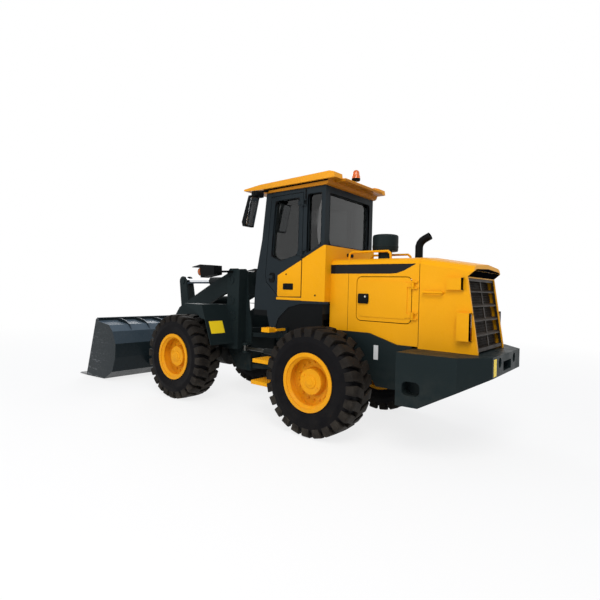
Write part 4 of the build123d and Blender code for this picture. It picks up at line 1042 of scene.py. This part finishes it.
# The solid dark sheet behind the wires paints the shade inside the hood; the wires are the screen.
shade_sheet_corners = oblong(-screen_half, screen_half, 1.185, 1.965)
plate(bm, [behind_grille(y, z, 0.085) for y, z in shade_sheet_corners], (0.003, 0, 0))
for index in range(upright_wires):
    y = -0.480 + index * wire_gap
    stick(bm, behind_grille(y, 1.188, 0.078), behind_grille(y, 1.962, 0.078), wire_radius, 6)
for index in range(level_wires):
    z = 1.200 + index * wire_gap
    stick(bm, behind_grille(-screen_half, z, 0.074), behind_grille(screen_half, z, 0.074), wire_radius, 6)
shown("grille_screen_and_shade", bm, grille_paint, "rear_body")
print("screen has", upright_wires + level_wires, "wires")

# %% [markdown]
# ## Label and reflectors
# A blank white plate sits on the left tank, and a yellow reflective strip on the left rear corner. Two more
# lie on the front fenders' rear panels. These lean, so a strip is laid out in the panel's own slope and
# given its thickness along the panel's normal.

# %% Blank label and reflector strips
tank_side = 0.550
bm = bmesh.new()
plate(bm, on_side(oblong(-0.580, -0.640, 0.965, 1.140), tank_side), (0, 0.002, 0), 0.004)
shown("blank_label", bm, blank_label, "rear_body")
bm = bmesh.new()
corner_strip = oblong(0.440, 0.540, 0.945, 1.125)
plate(bm, [Vector((cad_low.x, y, z)) for y, z in corner_strip], (-0.002, 0, 0), 0.006)
shown("corner_reflector", bm, reflector, "rear_body")
fender_back, fender_top = front_x - 0.521, 1.520
lean = 0.240 / 0.605
fender_out = Vector((-1, 0, lean)).normalized()
for side, sign in sides:
    bm = bmesh.new()
    corners = [(0.660, 1.265), (0.937, 1.265), (0.937, 1.080), (0.660, 1.080)]
    panel = [Vector((fender_back - lean * (fender_top - z), sign * y, z)) for y, z in corners]
    plate(bm, [point + fender_out * 0.0005 for point in panel], fender_out * 0.0025, 0.006)
    shown(f"fender_reflector_{side}", bm, reflector, "front_body")
print("strips lean", round(lean, 3))

# %% [markdown]
# ## Lamps
# A tail lamp high on the hood and a tall one below it sit in yellow pods, and the CAD holds their lenses.
# Each gets a black frame round it, and the tall one a red lens over its lower half.

# %% Tail lamp frames
def on_back(x, corners, sign):
    """Points on a face that looks backward, from pairs of Y and Z."""
    return [Vector((rear_x + x, sign * y, z)) for y, z in corners]


back = Vector((-1, 0, 0))
for side, sign in sides:
    bm = bmesh.new()
    for x, corners, deep in ((-1.602, oblong(0.509, 0.5615, 1.835, 1.969), 0.024),
                             (-1.702, oblong(0.509, 0.5905, 1.292, 1.589), 0.020)):
        frame_plate(bm, on_back(x, corners, sign), 0.013, back * deep, 0.012, 0.010)
    shown(f"tail_lamp_frames_{side}", bm, black_plastic, "rear_body")
    bm = bmesh.new()
    plate(bm, on_back(-1.712, oblong(0.525, 0.581, 1.306, 1.436), sign), back * 0.004, 0.006, 0.0015)
    shown(f"stop_lens_{side}", bm, red_lens, "rear_body")
print("tail lamps framed")

# %% [markdown]
# The headlamps hang on the towers in black shells with a visor. Their lenses are orange turned glass in a
# bezel, so each is a profile spun round the lamp's own axis.

# %% Headlamp lenses
aim = Vector((1, 0, -0.055)).normalized()
lens_line = [(0.0, 0.014), (0.022, 0.013), (0.044, 0.009), (0.058, 0.002), (0.0675, -0.012), (0.0675, -0.100)]
bezel_line = [(0.0665, -0.074), (0.073, -0.074), (0.074, -0.070), (0.074, -0.060), (0.0685, -0.058)]
for side, sign in sides:
    lens_place = Vector((front_x - 0.060, sign * 0.652, 2.040))
    bm = bmesh.new()
    lathe(bm, lens_place, aim, lens_line)
    shown(f"headlamp_lens_{side}", bm, amber_lens, "front_body")
    bm = bmesh.new()
    lathe(bm, lens_place, aim, bezel_line)
    shown(f"headlamp_bezel_{side}", bm, black_plastic, "front_body")
print("headlamp lenses aim", [round(v, 3) for v in aim])

# %% [markdown]
# ## Beacon
# The beacon on the rear edge of the roof is an orange dome with a waist, on a dark base and a thin bright
# stem. All three are turned profiles, and together they stand for the plainer CAD solid.

# %% Beacon
beacon_place = Vector((rear_x + 0.060, 0, 0))
up_axis = Vector((0, 0, 1))
dome_line = [(0.0, 3.500), (0.016, 3.498), (0.031, 3.490), (0.042, 3.477), (0.047, 3.460), (0.0475, 3.436),
             (0.052, 3.424), (0.0575, 3.404), (0.059, 3.378), (0.0, 3.378)]
base_line = [(0.0, 3.378), (0.0600, 3.378), (0.0605, 3.360), (0.054, 3.346), (0.020, 3.340), (0.0, 3.340)]
stem_line = [(0.0, 3.342), (0.011, 3.342), (0.011, 3.302), (0.030, 3.297), (0.030, 3.286), (0.0, 3.286)]
parts = {
    "beacon_dome": (amber_lens, "amber_lens", dome_line),
    "beacon_base": (black_plastic, "black_trim", base_line),
    "beacon_stem": (zinc_plate, "machinery", stem_line),
}
for name, (finish, slot, line) in parts.items():
    bm = bmesh.new()
    lathe(bm, beacon_place, up_axis, line)
    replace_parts(shown(name, bm, finish, "rear_body", 40), "beacon")
print("beacon of", len(parts), "turned pieces")

# %% [markdown]
# ## Mirrors, roof and steps
# The mirror heads lean with the front pillar. Their glass is a rounded plate laid in the slope of the
# head's rear face, and a black block under the roof carries each head. A flat black strip paints the shade in
# the gap between the roof's rim and its top, and the ladder's steps have raised buttons for grip, set out in
# rows on each tread.

# %% Mirror glass, mirror blocks, painted shade in the roof gap and tread buttons
roof_rim_side = 0.660
roof_gap = [(0.080, 3.230), (1.205, 3.212), (1.215, 3.236), (0.080, 3.247)]
block_y, block_half = 0.865, 0.085
button_gap = 0.045
treads = ((0.790, 1.040, 0.690, 0.945, 0.520), (0.750, 1.020, 0.690, 0.945, 0.820),
          (0.785, 0.875, 0.855, 0.945, 1.260))
head_top, head_low = Vector((rear_x + 1.105, 0, 3.080)), Vector((rear_x + 1.205, 0, 2.660))
fall = head_low - head_top
glass_out = Vector((fall.z, 0, -fall.x)).normalized()
for side, sign in sides:
    bm = bmesh.new()
    corners = [(0.04, 0.872), (0.04, 1.028), (0.96, 1.028), (0.96, 0.872)]
    face = [head_top + fall * share + Vector((0, sign * y, 0)) + glass_out * 0.0005 for share, y in corners]
    plate(bm, face, glass_out * 0.003, 0.030, 0.001)
    shown(f"mirror_glass_{side}", bm, mirror_glass, "rear_body")
    bm = bmesh.new()
    block(bm, (rear_x + 1.090, sign * block_y - block_half, 3.085),
          (rear_x + 1.190, sign * block_y + block_half, 3.165), 0.014, 3)
    shown(f"mirror_block_{side}", bm, black_plastic, "rear_body")
    bm = bmesh.new()
    # A black strip in the roof's gap: painted shade.
    plate(bm, on_side(roof_gap, sign * roof_rim_side), (0, sign * 0.002, 0))
    shown(f"roof_gap_shade_{side}", bm, shade_black, "rear_body")
    bm = bmesh.new()
    for x0, x1, y0, y1, z in treads:
        rows, columns = round((x1 - x0) / button_gap), round((y1 - y0) / button_gap)
        for row in range(rows + 1):
            for column in range(columns + 1):
                x, y = x0 + (x1 - x0) * row / rows, y0 + (y1 - y0) * column / columns
                disc(bm, (rear_x + x, sign * y, z), up_axis, 0.011, 0.004, 8, 0.008)
    shown(f"tread_buttons_{side}", bm, yellow_paint, "rear_body")
print("mirror glass is", round(fall.length * 0.92, 3), "tall")

# %% [markdown]
# ## Loader towers
# The pins of the lift gear end in caps on the tower. A keeper plate with a bolt stops each pin from
# turning, and a grease nipple stands in its middle.

# %% Pin keepers
keeper_thick, cap_side = 0.007, 0.512


def keeper(bm, x, z, y, sign, turn):
    """A keeper plate across a pin's edge, its bolt, and a grease nipple in the pin's middle."""
    out = Vector((0, sign, 0))
    ahead = Vector((cos(turn), 0, sin(turn)))
    across = Vector((-sin(turn), 0, cos(turn)))
    middle_of = Vector((x, sign * y, z))
    corners = [middle_of + ahead * a + across * b for a, b in oblong(0.022, 0.076, -0.016, 0.016)]
    plate(bm, corners, out * keeper_thick, 0.008, 0.0015)
    bolt(bm, middle_of + ahead * 0.060 + out * keeper_thick, out, 0.010)
    disc(bm, middle_of, out, 0.006, 0.010, 6, 0.005)
    disc(bm, middle_of + out * 0.010, out, 0.003, 0.005, 8, 0.004)


half_base = (front_x - rear_x) / 2
tower_pins = [(front_x - share * half_base, z) for share, z in ((0.483, 1.910), (0.498, 1.590), (0.528, 1.340))]
for side, sign in sides:
    bm = bmesh.new()
    for x, z in tower_pins:
        keeper(bm, x, z, cap_side, sign, radians(60))
    shown(f"tower_keepers_{side}", bm, charcoal_paint, "front_body")
print("keepers on", len(tower_pins), "pins a side")

# %% [markdown]
# ## Air cleaner and rear cab plate
# The air cleaner's bowl has a rounded top and a rim low down where its cover clips on, so a spun profile
# stands for the CAD's plain drum. A small black grip is let into the yellow plate under the rear window.

# %% Air cleaner bowl and plate grip
bowl_place = Vector((rear_x - 0.420, 0, 0))
bowl_line = [(0.0, 2.554), (0.135, 2.554), (0.156, 2.549), (0.166, 2.538), (0.169, 2.522), (0.1695, 2.402),
             (0.1725, 2.399), (0.1725, 2.388), (0.1695, 2.385), (0.168, 2.345), (0.161, 2.333), (0.090, 2.330),
             (0.090, 2.228), (0.0, 2.228)]
bm = bmesh.new()
lathe(bm, bowl_place, up_axis, bowl_line, 64)
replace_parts(shown("air_bowl", bm, charcoal_paint, "rear_body"), "air_cleaner")
bm = bmesh.new()
grip = oblong(-0.045, 0.130, 2.262, 2.312)
plate(bm, on_back(0.097, grip, 1), back * 0.006, 0.020, 0.002)
shown("plate_grip", bm, black_plastic, "rear_body")
print("bowl stands", round(bowl_line[0][1] - bowl_line[-1][1], 3), "tall")

# %% [markdown]
# ## Seat
# The driver's seat has a cushion and a back of stuffed cloth, seen dimly through the glass. They could be
# rounded blocks, but stuffing pushes cloth out between its seams, so a Cloth simulation with pressure
# inflates two slightly small blocks. The cushion's underside is pinned, so the cushion stays flat where it
# rests. How far a point may move is capped, and the simulated shape is applied to the mesh.

# %% Stuffed cushion and back
def seat_blocks(bm):
    """The cushion and the leaning back as blocks a little inside their CAD solids."""
    block(bm, (rear_x + 0.470, -0.218, 1.803), (rear_x + 0.915, 0.218, 1.900), 0.030, 3)
    back_line = [(0.430, 1.950), (0.518, 1.950), (0.444, 2.502), (0.358, 2.502)]
    spare = bmesh.new()
    plate(spare, on_side(back_line, -0.208), (0, 0.416, 0))
    bmesh.ops.recalc_face_normals(spare, faces=spare.faces)
    softened(spare, list(spare.edges), 0.028, 3)
    held = bpy.data.meshes.new("seat_back_block")
    spare.to_mesh(held)
    spare.free()
    bm.from_mesh(held)
    bpy.data.meshes.remove(held)


def apply_all(piece):
    """Replaces a piece's mesh by what its modifiers make of it."""
    depsgraph = bpy.context.evaluated_depsgraph_get()
    mesh = bpy.data.meshes.new_from_object(piece.evaluated_get(depsgraph))
    piece.modifiers.clear()
    piece.data = mesh


seat_voxel, stuffing_pressure, last_frame, cap = 0.009, 4.0, 20, 0.022
bm = bmesh.new()
seat_blocks(bm)
cushions = shown("stuffed_seat", bm, seat_cloth, "rear_body", 180)
remesh = cushions.modifiers.new("even_faces", "REMESH")
remesh.mode = "VOXEL"
remesh.voxel_size = seat_voxel
remesh.use_smooth_shade = True
apply_all(cushions)
start = [v.co.copy() for v in cushions.data.vertices]
floor_z = min(v.z for v in start)
rest_on = cushions.vertex_groups.new(name="rests")
rest_on.add([i for i, v in enumerate(start) if v.z < floor_z + 0.012], 1.0, "REPLACE")
cloth = cushions.modifiers.new("stuffing", "CLOTH")
cloth.settings.use_pressure = True
cloth.settings.uniform_pressure_force = stuffing_pressure
cloth.settings.effector_weights.gravity = 0.0
cloth.settings.vertex_group_mass = "rests"
for frame_number in range(1, last_frame + 1):
    scene.frame_set(frame_number)
apply_all(cushions)
scene.frame_set(1)
for v, old in zip(cushions.data.vertices, start):
    move = v.co - old
    if move.length > cap:
        v.co = old + move.normalized() * cap
smooth = cushions.modifiers.new("smooth_cloth", "SUBSURF")
smooth.levels = smooth.render_levels = 1
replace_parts(cushions, "seat_cushions")
print("seat has", len(cushions.data.polygons), "faces before smoothing")
